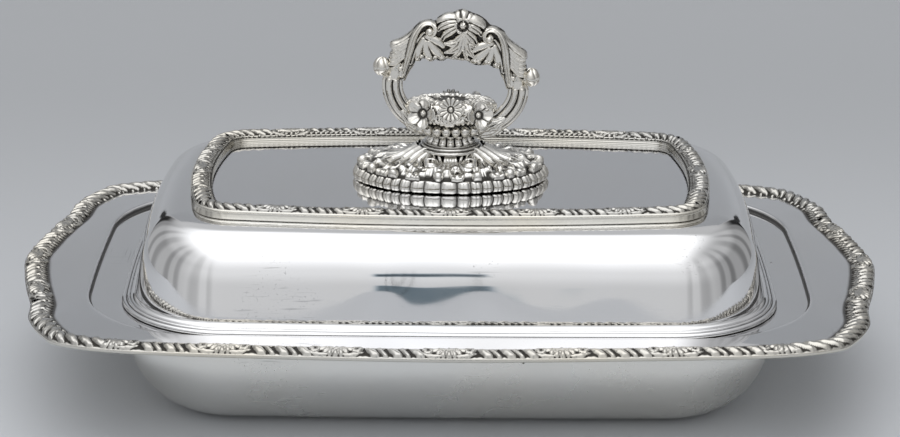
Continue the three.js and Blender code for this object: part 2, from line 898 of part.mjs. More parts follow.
function crest(gap = 0) {
  const rings = [];
  const startAngle = Math.asin(seatGap / openingHalfHeight);
  for (let k = 0; k < crestStations; k++) {
    const share = k / (crestStations - 1);
    const angle = startAngle + (Math.PI - 2 * startAngle) * share;
    const leaf = k % 2 ? crestLeaf : 0;
    const outerWidth = openingHalfWidth + armWidth + leaf + gap;
    const low = crestPoint(angle, openingHalfWidth, openingHalfHeight);
    const high = crestPoint(angle, outerWidth, openingHalfHeight + crestHeight - crestLeaf + leaf + gap);
    if (k === 0 || k === crestStations - 1) high.z = low.z;
    const middle = low.clone().add(high).multiplyScalar(0.5);
    const reach = high.clone().sub(low).multiplyScalar(0.5);
    const depth = (armDepth + (crestDepth - armDepth) * Math.sin(angle)) / 2 + gap;
    const ring = [];
    for (let j = 0; j < crestSides; j++) {
      const turn = (j / crestSides) * 2 * Math.PI;
      const point = middle.clone().addScaledVector(reach, Math.cos(turn));
      point.y = depth * Math.sin(turn);
      ring.push(point);
    }
    rings.push(ring);
  }
  return leaned(skinned(rings));
}

const knuckleAngle = THREE.MathUtils.degToRad(15);

function knuckle(side) {
  const ball = new THREE.SphereGeometry(1, crestSides, lobes);
  ball.rotateX(Math.PI / 2);
  ball.scale(knuckleHalfWidth, knuckleHalfDepth, knuckleHalfHeight);
  const seat = crestPoint(knuckleAngle, openingHalfWidth + armWidth, openingHalfHeight + crestHeight);
  ball.translate(side * (seat.x + knuckleHalfWidth), 0, seat.z);
  return cut(leaned(ball), crest(seatGap));
}

// A rosette: a disc of petals that stands up and faces -Y. Its face stands out by its relief from y = 0.
const petalNotchShare = 0.68;

function rosette(radius) {
  const outline = new THREE.Shape();
  const points = 2 * petalCount;
  for (let k = 0; k < points; k++) {
    const angle = (k / points) * 2 * Math.PI;
    const reach = radius * (k % 2 ? petalNotchShare : 1);
    if (k) outline.lineTo(reach * Math.cos(angle), reach * Math.sin(angle));
    else outline.moveTo(reach, 0);
  }
  outline.closePath();
  const disc = new THREE.ExtrudeGeometry(outline, { depth: rosetteThickness, bevelEnabled: false });
  disc.rotateX(Math.PI / 2);
  disc.translate(0, rosetteThickness - rosetteRelief, 0);
  return disc;
}

// Rosettes lean back on the basket's shoulder, turned from the front by the given angle.
function basketRosette(turn) {
  const disc = rosette(basketRosetteRadius);
  disc.rotateX(-rosetteTilt);
  const facing = Math.atan2(Math.sin(turn) / basketHalfLength, Math.cos(turn) / basketHalfDepth);
  disc.rotateZ(facing);
  disc.translate(
    Math.sin(turn) * basketHalfLength,
    -Math.cos(turn) * basketHalfDepth,
    basketLevel + basketHeight * basketShoulderShare,
  );
  return cut(disc, skinned(basket(seatGap)));
}

function crestRosette(turn) {
  const disc = rosette(crestRosetteRadius);
  disc.translate(0, -crestDepth / 2, 0);
  disc.rotateZ(turn);
  disc.translate(0, 0, loopLevel + openingHalfHeight + crestHeight - crestRosetteDrop);
  return cut(leaned(disc), crest(seatGap));
}

piece("handle_foot", footPlate(), "casting");
piece("handle_collar", collar(), "casting");
piece("handle_neck", neck(), "casting");
piece("handle_basket", basketBody(), "casting");
piece("loop_arm_left", loopArm(-1), "casting");
piece("loop_arm_right", loopArm(1), "casting");
piece("loop_crest", crest(), "casting");
piece("loop_knuckle_left", knuckle(-1), "casting");
piece("loop_knuckle_right", knuckle(1), "casting");
piece("crest_rosette_front", crestRosette(0), "casting");
piece("crest_rosette_back", crestRosette(Math.PI), "casting");

const rosetteTurn = THREE.MathUtils.degToRad(38);
for (const [side, facing] of [
  ["front", 0],
  ["back", Math.PI],
]) {
  piece(`basket_rosette_${side}_left`, basketRosette(facing - rosetteTurn), "casting");
  piece(`basket_rosette_${side}_middle`, basketRosette(facing), "casting");
  piece(`basket_rosette_${side}_right`, basketRosette(facing + rosetteTurn), "casting");
}

export default dish;
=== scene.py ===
# %% [markdown]
# # A silver-plated covered vegetable dish
# This lesson dresses the packed part of the dish in smooth plated sheet, stamped borders and a cast
# handle. It starts by loading the parts of model.glb, which are hidden as they are replaced. Blender
# holds the objects and numpy works out their points, because thousands of points in a pattern are
# quick and exact to compute and slow to place by hand.

# %% Parts and tools
from math import atan2, cos, pi, radians, sin

import bpy
import numpy as np
from mathutils import Matrix, Vector


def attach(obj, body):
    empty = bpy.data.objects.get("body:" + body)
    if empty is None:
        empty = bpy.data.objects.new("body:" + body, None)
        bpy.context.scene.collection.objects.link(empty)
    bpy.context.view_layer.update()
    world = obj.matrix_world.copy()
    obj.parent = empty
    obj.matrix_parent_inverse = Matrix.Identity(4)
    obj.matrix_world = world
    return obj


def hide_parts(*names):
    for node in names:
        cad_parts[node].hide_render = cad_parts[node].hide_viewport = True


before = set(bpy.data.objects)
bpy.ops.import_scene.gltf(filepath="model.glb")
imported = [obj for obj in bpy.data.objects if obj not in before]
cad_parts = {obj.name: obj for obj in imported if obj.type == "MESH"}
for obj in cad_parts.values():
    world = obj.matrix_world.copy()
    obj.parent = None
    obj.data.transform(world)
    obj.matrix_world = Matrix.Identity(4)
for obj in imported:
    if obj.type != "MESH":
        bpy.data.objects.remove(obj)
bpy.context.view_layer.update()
MM = 0.001


def linked(name, data):
    """A new object, already in the scene."""
    made = bpy.data.objects.new(name, data)
    bpy.context.scene.collection.objects.link(made)
    return made


# %% [markdown]
# The camera stands where the photographer stood, some 1.2 m in front and 18 degrees up, with a long
# lens. A slight roll makes the right side sit a little lower, as it does in the picture. A camera can
# be aimed with a Track To constraint, but a matrix made of its three axes holds the roll as well.

# %% Camera
ELEVATION, ROLL = 0.313, 0.007
LOOK_AT = Vector((0, 0, 0.065))
DISTANCE = 1.191
SENSOR, FOCAL_PIXELS, PHOTO_WIDTH = 36, 2815, 900
forward = Vector((0, cos(ELEVATION), -sin(ELEVATION)))
level_up = Vector((1, 0, 0)).cross(forward)
cam_x = Vector((1, 0, 0)) * cos(ROLL) + level_up * sin(ROLL)
cam_y = forward.cross(cam_x).normalized() * -1
camera = linked("camera", bpy.data.cameras.new("camera"))
camera.data.sensor_width = SENSOR
camera.data.lens = FOCAL_PIXELS / PHOTO_WIDTH * SENSOR
camera.data.clip_end = 20
turn = Matrix((cam_x, cam_y, -forward)).transposed().to_4x4()
camera.matrix_world = Matrix.Translation(LOOK_AT - forward * DISTANCE) @ turn
bpy.context.scene.camera = camera
print("camera at", [round(v, 3) for v in camera.matrix_world.translation])

# %% [markdown]
# Two small helpers make all the forms. A grid of points becomes a skin of quads, and a piece joins its
# skins into one mesh, put on its body and named for the nodes that it stands for. Each vertex also
# carries how deep it lies in the relief, which the materials use for tarnish and for painted shade.
# Sheet metal and castings could also be sculpted, or built up from modifiers. Points from formulas were
# chosen because every size stays exact, and each run gives the same mesh.

# %% Mesh helpers


def skin(grid, closed=False, depth=None):
    """Vertices, quads and depths of a grid of points in millimetres, shaped (rows, columns, 3)."""
    rows, columns = grid.shape[:2]
    index = np.arange(rows * columns).reshape(rows, columns)
    if closed:
        index = np.hstack([index, index[:, :1]])
    quads = np.stack([index[:-1, :-1], index[:-1, 1:], index[1:, 1:], index[1:, :-1]], -1)
    deep = np.zeros(rows * columns) if depth is None else np.broadcast_to(depth, (rows, columns)).ravel()
    return grid.reshape(-1, 3), quads.reshape(-1, 4), deep


def piece(name, parts, body, material, nodes=()):
    """One object from parts, which rides on a body and stands for the named nodes."""
    starts = np.cumsum([0] + [len(p[0]) for p in parts])
    points = np.concatenate([p[0] for p in parts]) * MM
    quads = np.concatenate([p[1] + start for p, start in zip(parts, starts)])
    mesh = bpy.data.meshes.new(name)
    mesh.vertices.add(len(points))
    mesh.vertices.foreach_set("co", points.astype(np.float32).ravel())
    mesh.loops.add(quads.size)
    mesh.loops.foreach_set("vertex_index", quads.astype(np.int32).ravel())
    mesh.polygons.add(len(quads))
    mesh.polygons.foreach_set("loop_start", np.arange(0, quads.size, 4, dtype=np.int32))
    deep = mesh.attributes.new("hollow", "FLOAT", "POINT")
    deep.data.foreach_set("value", np.concatenate([p[2] for p in parts]).astype(np.float32))
    mesh.update(calc_edges=True)
    mesh.validate()
    mesh.shade_smooth()
    mesh.materials.append(material)
    made = linked(name, mesh)
    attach(made, body)
    if nodes:
        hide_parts(*nodes)


quads = skin(np.zeros((3, 4, 3)), closed=True)[1]
print("3 rings of 4 points make", len(quads), "quads")

# %% [markdown]
# Every outline of the dish is either a rounded rectangle with gently bowed sides or the lobed rim. Both
# come as closed rows of points, and a point is found by its share of the way round. Bezier curves could
# draw them too, but rows of points can be offset, blended and stacked in one step.

# %% Outlines
END_STEPS, CORNER_STEPS, SIDE_STEPS = 20, 30, 36
AROUND = 4 * (END_STEPS + CORNER_STEPS + SIDE_STEPS)


def whole(quarter):
    """The closed outline of a quarter that runs from the +X end to the +Y side."""
    first, back = quarter[:-1], quarter[:0:-1]
    return np.concatenate([first, back * (-1, 1), first * (-1, -1), back * (1, -1)])


def bowed(half_length, half_width, corner, end_bow, side_bow):
    """A rounded rectangle with bowed ends and sides; the half sizes reach the middle of the bows."""
    radius = min(max(corner, 0.001), (half_length - end_bow) / 2, half_width - side_bow)
    end_x, side_y = half_length - end_bow, half_width - side_bow
    end_y, side_x = side_y - radius, end_x - radius
    for _ in range(6):
        start = atan2(2 * end_bow, max(end_y, 0.001))
        stop = atan2(2 * side_bow, side_x)
        end_y = max(side_y - radius * (cos(stop) - sin(start)), 0.001)
        side_x = end_x - radius * (cos(start) - sin(stop))
    middle = np.array([end_x - radius * cos(start), side_y - radius * cos(stop)])
    share = np.arange(END_STEPS) / END_STEPS
    end = np.stack([half_length - end_bow * share**2, end_y * share], 1)
    angle = start + (pi / 2 - stop - start) * np.arange(CORNER_STEPS + 1) / CORNER_STEPS
    arc = middle + radius * np.stack([np.cos(angle), np.sin(angle)], 1)
    share = np.arange(SIDE_STEPS - 1, -1, -1) / SIDE_STEPS
    side = np.stack([side_x * share, half_width - side_bow * share**2], 1)
    return whole(np.concatenate([end, arc, side]))


def through(points, count, closed=False):
    """A smooth curve through points, at equal steps of its length."""
    points = np.asarray(points, float)
    if closed:
        padded = np.concatenate([points[-1:], points, points[:2]])
    else:
        ends = 2 * points[:1] - points[1:2], 2 * points[-1:] - points[-2:-1]
        padded = np.concatenate([ends[0], points, ends[1]])
    dense = []
    for a, b, c, d in zip(padded, padded[1:], padded[2:], padded[3:]):
        t = np.linspace(0, 1, 24, endpoint=False)[:, None]
        bend = t**2 * (a - 2.5 * b + 2 * c - d / 2)
        dense.append(b + t * (c - a) / 2 + bend + t**3 * (1.5 * (b - c) + (d - a) / 2))
    if not closed:
        dense.append(padded[-2:-1])
    return evenly(np.concatenate(dense), count, closed)


def evenly(points, count, closed=False):
    """Points at equal steps of the length of a line."""
    run = np.concatenate([points, points[:1]]) if closed else points
    gone = np.concatenate([[0], np.cumsum(np.linalg.norm(np.diff(run, axis=0), axis=1))])
    at = np.linspace(0, gone[-1], count, endpoint=not closed)
    return np.stack([np.interp(at, gone, run[:, k]) for k in range(run.shape[1])], 1)


RIM_SHARES = [(1, 0), (0.987, 0.171), (0.967, 0.341), (0.944, 0.495), (0.933, 0.648), (0.892, 0.794)]
RIM_SHARES += [(0.844, 0.875), (0.694, 0.941), (0.361, 0.98), (0, 1)]
# Half length, half width, corner radius, and how far the ends and the sides bow out.
MOUTH = (131.5, 88.9, 43, 0.7, 1)
LIP = (134.6, 92, 46.1, 0.7, 1)
CROWN = (108.2, 62.4, 17, 4.5, 5.5)
CROWN_INSET = 26.4
STEP = (148.2, 95, 53, 0.7, 1)
rim = through(whole(np.array(RIM_SHARES) * (180, 117.2)), 4000, closed=True)
crown = evenly(bowed(*CROWN), 3000, closed=True)


def grown(size, by):
    """The rounded rectangle of that size, larger by so much all round."""
    return bowed(*(length + by for length in size[:3]), *size[3:])


def lid_outline(inset):
    """The lid's outline at an inset from the lip, measured at the ends."""
    if inset > CROWN_INSET:
        return grown(CROWN, CROWN_INSET - inset)
    share = inset / CROWN_INSET
    return bowed(*LIP) * (1 - share) + bowed(*CROWN) * share


def at_level(outline, level):
    return np.column_stack([outline, np.full(len(outline), level)])


def beside(curve, share, inset, level):
    """Points beside a closed curve, moved in by an inset and up to a level."""
    tangent = np.roll(curve, -6, 0) - np.roll(curve, 6, 0)
    inward = tangent[:, ::-1] * (-1, 1)
    inward /= np.linalg.norm(inward, axis=1)[:, None]
    both = np.hstack([curve, inward])
    both = np.vstack([both, both[:1]])
    at = (share % 1) * len(curve)
    x, y, across, along = (np.interp(at, np.arange(len(both)), row) for row in both.T)
    return np.stack([x + across * inset, y + along * inset, level + 0 * x], -1)


print("rim", len(rim), "points; rings of", AROUND)

# %% [markdown]
# Silver plate is a mirror, so its finish is mostly what it reflects. What belongs to the metal is a
# faint haze from years of polishing, hairline scratches, a few pits, and dark tarnish in the hollows of
# the relief. Painted shade is added in those hollows as well. Each effect is a group that the materials
# share. Pictures of scratches could be wrapped round the dish. Noise needs no picture, shows no seam and
# stays sharp up close, so the groups are made of noise. First come short calls for the nodes, so that a
# tree reads as a list of steps.

# %% Node helpers


class Net:
    """A shader tree, with a short call for each kind of node that the lesson uses."""

    def __init__(self, tree):
        self.tree = tree

    def plug(self, socket, value):
        if isinstance(value, bpy.types.NodeSocket):
            self.tree.links.new(value, socket)
        else:
            socket.default_value = value

    def node(self, kind, values=None, **settings):
        made = self.tree.nodes.new("ShaderNode" + kind)
        for key, value in settings.items():
            setattr(made, key, value)
        for key, value in (values or {}).items():
            self.plug(made.inputs[key], value)
        return made

    def math(self, operation, a, b=0.0, c=0.0, clamp=False):
        values = {0: a, 1: b, 2: c}
        return self.node("Math", values, operation=operation, use_clamp=clamp).outputs[0]

    def times(self, result, *factors):
        for factor in factors:
            result = self.math("MULTIPLY", result, factor)
        return result

    def add(self, value, factor, base, clamp=False):
        """The base plus a value times a factor."""
        return self.math("MULTIPLY_ADD", value, factor, base, clamp)

    def ramp(self, value, low, high, to_low=0.0, to_high=1.0):
        ends = {"Value": value, "From Min": low, "From Max": high, "To Min": to_low, "To Max": to_high}
        return self.node("MapRange", ends, interpolation_type="SMOOTHSTEP").outputs[0]

    def mix(self, share, a, b):
        return self.node("Mix", {0: share, 6: a, 7: b}, data_type="RGBA").outputs[2]

    def noise(self, place, scale, detail, roughness=0.5):
        values = {"Vector": place, "Scale": scale, "Detail": detail, "Roughness": roughness}
        return self.node("TexNoise", values).outputs["Fac"]


def group(name, inputs, outputs):
    """A node group: its net, what it is given and what it gives."""
    tree = bpy.data.node_groups.new(name, "ShaderNodeTree")
    for label, default in inputs.items():
        kind = "Float" if isinstance(default, float) else "Color"
        socket = tree.interface.new_socket(label, in_out="INPUT", socket_type="NodeSocket" + kind)
        socket.default_value = default
    for label, kind in outputs.items():
        tree.interface.new_socket(label, in_out="OUTPUT", socket_type="NodeSocket" + kind)
    given, gives = (tree.nodes.new("NodeGroup" + end) for end in ("Input", "Output"))
    return Net(tree), given.outputs, gives.inputs


print("node helpers:", [name for name in vars(Net) if name[0] != "_"])

# %% [markdown]
# The polish is a mirror with a history. Fine hairlines run in three directions, a soft haze is broken
# by cloudy wear, and the sheet itself waves a little. One noise could stand for all of it, but each of
# these has its own size, so each has its own noise.

# %% Polish
# Turn and stretch of each set of hairlines.
HAIRLINES = [(0.5, (30, 900, 900)), (1.9, (900, 26, 900)), (2.7, (40, 1400, 800))]


def polish_group():
    """Polished plate: hairlines in three directions, soft haze, pits and a slow wave in the sheet."""
    inputs = {"Scratches": 0.5, "Haze": 0.05, "Wave": 1.0, "Grain": 0.0}
    net, given, gives = group("polish", inputs, dict.fromkeys(("Roughness", "Height", "Stain"), "Float"))
    place = net.node("TexCoord").outputs["Object"]
    lines = 0.0
    for k, (turned, stretch) in enumerate(HAIRLINES):
        values = {"Vector": place, "Rotation": (0.2 * k, 0.1, turned), "Scale": stretch}
        hair = net.noise(net.node("Mapping", values).outputs[0], 1.0, 2.0, 0.6)
        lines = net.math("MAXIMUM", lines, net.ramp(hair, 0.62, 0.8))
    scratch = net.times(lines, given["Scratches"])
    worn = net.ramp(net.noise(place, 22.0, 4.0, 0.6), 0.4, 0.72)
    pit = net.node("TexVoronoi", {"Vector": place, "Scale": 70.0, "Randomness": 1.0}).outputs["Distance"]
    holes = net.times(net.ramp(pit, 0.05, 0.02), net.ramp(net.noise(place, 13.0, 1.0), 0.6, 0.64))
    scuffs = net.times(lines, net.ramp(net.noise(place, 19.0, 2.0), 0.63, 0.68))
    rough = net.add(worn, net.times(given["Haze"], 0.8), given["Haze"])
    rough = net.add(scratch, 0.08, rough)
    height = net.add(scratch, -0.000002, net.times(holes, -0.00006))
    height = net.add(net.noise(place, 9.0, 1.5, 0.4), net.times(given["Wave"], 0.0004), height)
    height = net.add(net.noise(place, 420.0, 2.0), net.times(given["Grain"], 0.0004), height)
    net.plug(gives["Roughness"], net.add(holes, 0.3, rough, clamp=True))
    net.plug(gives["Height"], height)
    net.plug(gives["Stain"], net.math("MAXIMUM", holes, net.times(scuffs, 0.55)))
    return net.tree


POLISH = polish_group()
print("polish:", len(POLISH.nodes), "nodes")

# %% [markdown]
# Tarnish is sulphide, first a thin yellow film and then nearly black. It could be painted on. Here the
# hollow attribute of the meshes says where the relief lies deep, and there the colour goes dark, partly
# as tarnish and partly as painted shade. A cloudy noise frays its edge.

# %% Tarnish


def tarnish_and_shade_group():
    """Dark hollows, partly sulphide and partly painted shade, and a warm, thin film in patches, over a bright
    metal colour.
    """
    inputs = {"Metal": (0.8, 0.8, 0.8, 1), "Hollow": 0.0, "Stain": 0.0, "Warmth": 0.3, "Darkness": 0.8}
    net, given, gives = group("tarnish_and_shade", inputs, {"Color": "Color", "Dull": "Float"})
    place = net.node("TexCoord").outputs["Object"]
    warm = net.times(net.ramp(net.noise(place, 16.0, 3.0), 0.35, 0.65), given["Warmth"])
    tone = net.mix(warm, given["Metal"], (0.74, 0.66, 0.5, 1))
    cloud = net.noise(place, 60.0, 5.0, 0.65)
    uneven = net.add(cloud, 0.5, net.math("SUBTRACT", given["Hollow"], 0.25))
    # Painted shade and tarnish: the colour goes nearly black where the hollow attribute is high.
    tarnish_and_shade_sum = net.times(net.ramp(uneven, 0.25, 0.85), given["Darkness"])
    tarnish_and_shade_sum = net.math("MAXIMUM", tarnish_and_shade_sum, net.times(given["Stain"], 0.85))
    net.plug(gives["Color"], net.mix(tarnish_and_shade_sum, tone, (0.035, 0.032, 0.028, 1)))
    net.plug(gives["Dull"], tarnish_and_shade_sum)
    return net.tree


TARNISH_AND_SHADE = tarnish_and_shade_group()
print("tarnish:", len(TARNISH_AND_SHADE.nodes), "nodes")

# %% [markdown]
# The six metals differ only in wear, tarnish and painted shade: bright sheet, a worn underside, rolled
# trim, stamped borders, castings and dull fittings. Six trees could be drawn, but one function with two
# shared groups keeps them alike.

# %% Metals


def silver(name, metal, haze, scratches, wave, warmth, darkness, grain):
    """A plated metal: the two groups, an attribute for the hollows and one shader."""
    made = bpy.data.materials.new(name)
    made.use_nodes = True
    net = Net(made.node_tree)
    net.tree.nodes.clear()
    values = {"Scratches": scratches, "Haze": haze, "Wave": wave, "Grain": grain}
    polish = net.node("Group", values, node_tree=POLISH).outputs
    hollow = net.node("Attribute", attribute_name="hollow").outputs["Fac"]
    values = {"Metal": (*metal, 1), "Hollow": hollow, "Stain": polish["Stain"]}
    values |= {"Warmth": warmth, "Darkness": darkness}
    stain = net.node("Group", values, node_tree=TARNISH_AND_SHADE).outputs
    rough = net.add(stain["Dull"], 0.45, polish["Roughness"], clamp=True)
    bump = net.node("Bump", {"Height": polish["Height"], "Strength": 1.0, "Distance": 1.0}).outputs[0]
    values = {"Base Color": stain["Color"], "Roughness": rough, "Normal": bump, "Metallic": 1.0}
    shader = net.node("BsdfPrincipled", values)
    net.plug(net.node("OutputMaterial").inputs[0], shader.outputs[0])
    return made


# Name, colour, haze, scratches, wave, warmth of the tarnish, darkness of the tarnish and painted shade in the
# hollows, and grain.
plate = silver("polished_plate", (0.83, 0.83, 0.84), 0.045, 0.5, 0.5, 0.05, 0.9, 0.0)
satin = silver("worn_underside", (0.8, 0.8, 0.78), 0.2, 0.8, 0.6, 0.12, 0.9, 0.1)
rolled = silver("rolled_trim", (0.67, 0.655, 0.61), 0.09, 0.3, 0.0, 0.3, 0.95, 0.2)
border = silver("stamped_border", (0.54, 0.528, 0.5), 0.09, 0.3, 0.0, 0.25, 0.97, 0.3)
casting = silver("cast_silver", (0.76, 0.745, 0.71), 0.06, 0.3, 0.0, 0.22, 0.95, 0.35)
fitting = silver("dull_fitting", (0.6, 0.56, 0.47), 0.3, 0.6, 0.0, 0.4, 0.6, 1.0)
print("materials:", [m.name for m in bpy.data.materials])

# %% [markdown]
# The dish is one sheet, drawn down into the well and out into the flange. A crisp step parts the ledge
# for the lid from the flange, which falls a little towards the rim. The crease of the step and the seam
# along the border are darkened: painted shade, with some tarnish. The underside is worn and satin. A
# Solidify modifier could thicken one surface. Here the top and the underside are skins of their own, so
# that each has its own line and its own finish.

# %% Dish sheet
FLOOR, LEDGE, FLANGE, SHEET = 1.0, 44.8, 45.9, 1.0
BEND, MOUTH_BEND, FALL, SEAM = 31.0, 1.6, 1.0, 10.4
COUNT = AROUND * 2


def arc(steps, start, stop):
    return np.linspace(start, stop, steps)


def ring(size, by, level):
    """A level ring of the rounded rectangle grown by that much, at equal steps of its length."""
    return at_level(evenly(grown(size, by), COUNT, closed=True), level)


def shrunk(last, shares):
    """Rings that close a flat from its edge to its middle."""
    return [np.column_stack([last[:, :2] * share, last[:, 2]]) for share in shares]


def well_rings(by, floor):
    """Rings from the mouth down the wall, round the bend and in over the floor."""
    radius = BEND + by
    rings = [ring(MOUTH, by, z) for z in np.linspace(LEDGE - MOUTH_BEND, floor + radius, 6)[:-1]]
    for a in arc(30, 0, pi / 2):
        reach, rise = radius * (1 - cos(a)), radius * (1 - sin(a))
        rings.append(ring(MOUTH, by - reach, floor + rise))
    return rings + shrunk(rings[-1], (0.7, 0.35, 0.02))


# Reach from the step's foot, height over the ledge, and how much painted shade and tarnish darken it there.
STEP_LINE = [(-2.2, 0.0, 0.0), (-0.8, 0.0, 0.2), (-0.3, 0.0, 1.0), (0.0, 0.04, 1.0), (0.15, 0.3, 1.0)]
STEP_LINE += [(0.35, 1.0, 0.9), (0.55, 1.6, 0.3), (0.8, 1.95, 0.0), (1.3, 1.1 + FALL, 0.0)]
shares = np.arange(COUNT) / COUNT
top = [(rows, 0.0) for rows in well_rings(0, FLOOR)[::-1]]
for a in arc(9, 0.1, pi / 2):
    level = LEDGE - MOUTH_BEND + MOUTH_BEND * sin(a)
    top.append((ring(MOUTH, MOUTH_BEND * (1 - cos(a)), level), 0.0))
top += [(ring(STEP, reach, LEDGE + rise), tarnish_and_shade_sum) for reach, rise, tarnish_and_shade_sum in STEP_LINE]
step_top, seam = top[-1][0], beside(rim, shares, SEAM, FLANGE + 0.1)
# Painted shade: the flange darkens as it nears the seam under the border, and is dark beneath the border.
for share in np.linspace(0, 1, 14)[1:]:
    top.append((step_top * (1 - share) + seam * share, max(0.0, share * 12 - 11.4)))
top += [(beside(rim, shares, inset, FLANGE), 1.0) for inset in (9.6, 7.0, 4.0)]
rows, crease_and_seam_shade = zip(*top)
top_skin = skin(np.array(rows), closed=True, depth=np.array(crease_and_seam_shade)[:, None])
piece("dish_sheet", [top_skin], "dish", plate, ["dish_body"])
BELOW = [(STEP, 1.2, FLANGE), (STEP, -1, LEDGE), (MOUTH, 2.6, LEDGE), (MOUTH, 1.3, LEDGE - 0.5)]
below = [beside(rim, shares, 4.0, level) for level in (FLANGE, FLANGE - SHEET)]
below += [ring(size, by, level - SHEET) for size, by, level in BELOW] + well_rings(1, 0)
piece("dish_underside", [skin(np.array(below), closed=True)], "dish", satin)
BAND = [(4.0, -1.0), (2.4, -1.6), (1.0, -1.75), (0.45, -1.5), (0.3, -0.9), (0.45, -0.2), (0.7, 0.2)]
BAND_STEPS = 1400
band_line = through([(inset, FLANGE + up) for inset, up in BAND], 16)
band = [beside(rim, np.arange(BAND_STEPS) / BAND_STEPS, inset, level) for inset, level in band_line]
piece("rim_band_rolled", [skin(np.array(band), closed=True)], "dish", rolled, ["rim_band"])
print("dish sheet:", len(top_skin[0]), "points")

# %% [markdown]
# The divider is a plate across the well with a half-round bead on its top edge. It stays below the
# lid's bezel, so that it cannot be seen while the lid is on. A boolean could cut it to the well. Its
# outline is so simple, with straight ends and a quarter bend at each foot, that writing it down is
# surer.

# %% Divider
DIVIDER_TOP, HALF_SHEET = 34.6, 0.7
WALL_OUT, WALL_UP, WALL_BEND = 88.5, 30.6, 29.3
wall = [(WALL_OUT, DIVIDER_TOP)]
for a in arc(24, 0, pi / 2):
    wall.append((WALL_OUT - WALL_BEND * (1 - cos(a)), WALL_UP - WALL_BEND * sin(a)))
side = np.array(wall + [(-y, z) for y, z in wall[::-1]])
middle = np.column_stack([0 * side[:, 0], side[:, 0] * 0.02, 18 + 0 * side[:, 1]])
rims = np.array([np.column_stack([x + 0 * side[:, 0], side]) for x in (-HALF_SHEET, HALF_SHEET)])
faces = [skin(np.array([edge, middle + (edge[0, 0], 0, 0)]), closed=True, depth=0.25) for edge in rims]
piece("divider_sheet", faces + [skin(rims, closed=True)], "dish", satin, ["divider_plate"])
bead_line = [(1.6 * sin(a), 1.0 + 1.6 * cos(a)) for a in arc(17, -pi / 2, pi / 2)]
bead_line = [(-1.6, 0.0)] + bead_line + [(1.6, 0.0)]
bead_rows = [[(x, y, DIVIDER_TOP + 0.3 + z) for x, z in bead_line] for y in (-86.0, -85.4, 85.4, 86.0)]
bead_grid = np.array(bead_rows)
bead_grid[[0, -1], :, 0] *= 0.6
piece("divider_bead_rolled", [skin(bead_grid, closed=True)], "dish", plate, ["divider_bead"])
print("divider stands to", DIVIDER_TOP, "mm")

# %% [markdown]
# The lid is drawn too: a flat lip with a round wire on its edge and a thin bead beside it, a tight
# cove, a full dome whose foot leans in evenly, and a sunken panel. A moulding of two rolls and a hollow
# frames the panel. A century of use has left shallow dents in front. A box with subdivisions would come
# close to this form. A line of insets and levels, carried round the outline, was chosen because it
# gives the cove and the dome the same section on all sides. The dents are soft bumps in the same
# points.

# %% Lid sheet
LIP_LEVEL, CROWN_LEVEL, PANEL, COVE = 45.1, 82.2, 83.4, 6.0
FOOT_LEVEL = LIP_LEVEL + 3.8
# The dome's bottom TOE millimetres lean in: by LEAN at the cove, and less and less above it.
TOE, LEAN, TOE_REACH, TOE_EASE = 13.5, 0.131, 8.31, 167.3


def dome_line(foot, top):
    """Insets and levels from the cove up the dome."""
    angle = arc(72, 0, pi / 2)
    up = np.sin(angle) ** (2 / 2.6) * (top - FOOT_LEVEL)
    inset = CROWN_INSET - (CROWN_INSET - foot) * np.cos(angle) ** (2 / 2.6)
    toe = np.minimum(up, TOE)
    return list(zip(inset - LEAN * (TOE_REACH - toe + toe**2.6 / TOE_EASE), FOOT_LEVEL + up))


# Place along, height, radius and depth of each dent.
DENTS = [(-62, 70, 14, 0.22), (-28, 66, 9, -0.2), (-12, 72, 11, 0.2), (14, 67, 10, -0.24)]
DENTS += [(38, 71, 13, 0.2), (66, 66, 12, -0.2), (-20, 58, 8, 0.06), (30, 59, 9, -0.07)]


def lid_skin(line, shares, depth=None):
    """The lid's sheet along a line of insets and levels, closed over the panel by the shares."""
    rows = [at_level(lid_outline(inset), level) for inset, level in line]
    for row in rows:
        for x, z, radius, deep in DENTS:
            gap = ((row[:, 0] - x) ** 2 + (row[:, 2] - z) ** 2) / radius**2
            row[:, 1] += deep * np.exp(-gap) * (row[:, 1] < 0)
    return skin(np.array(rows + shrunk(rows[-1], shares)), closed=True, depth=depth)


bead = [(2.3 - 0.6 * cos(a), LIP_LEVEL + 1.3 + 0.75 * sin(a)) for a in arc(9, 0, pi)]
cove = [(COVE - 1.09 - 1.91 * (1 - cos(a)), FOOT_LEVEL - 1.9 * sin(a)) for a in arc(14, pi / 2, 0)]
top_line = [(1.4, LIP_LEVEL + 1), (1.6, LIP_LEVEL + 1)] + bead + cove
top_line += dome_line(COVE, CROWN_LEVEL)[1:] + [(34.7, CROWN_LEVEL), (34.8, PANEL)]
under_line = [(0, LIP_LEVEL), (7, LIP_LEVEL)] + dome_line(7, CROWN_LEVEL - 1)
under_line += [(35.9, CROWN_LEVEL - 1), (35.9, PANEL - 1)]
TO_MIDDLE, TO_KEY_PLATE = (0.998, 0.99, 0.8, 0.55, 0.3, 0.1, 0.01), (0.995, 0.98, 0.5, 0.14)
row_numbers = np.arange(len(top_line) + len(TO_MIDDLE))
creases = np.interp(row_numbers, [0, 2, 3, 9, 10.5, 12], [1, 1, 0, 0, 0.9, 0])[:, None]
piece("lid_sheet", [lid_skin(top_line, TO_MIDDLE, creases)], "lid", plate, ["lid_shell"])
piece("lid_inside", [lid_skin(under_line, TO_KEY_PLATE)], "lid", satin)
print("lid sheet:", len(top_line), "rows up to the panel")

# %% [markdown]
# A round wire stiffens the lip, the moulding hides the joint of the crown, and a bezel drops into the
# mouth and keeps the lid in place. Each is a section drawn through a few points and carried round. A
# curve with a bevel object could do that, but not with an outline that changes with the inset.

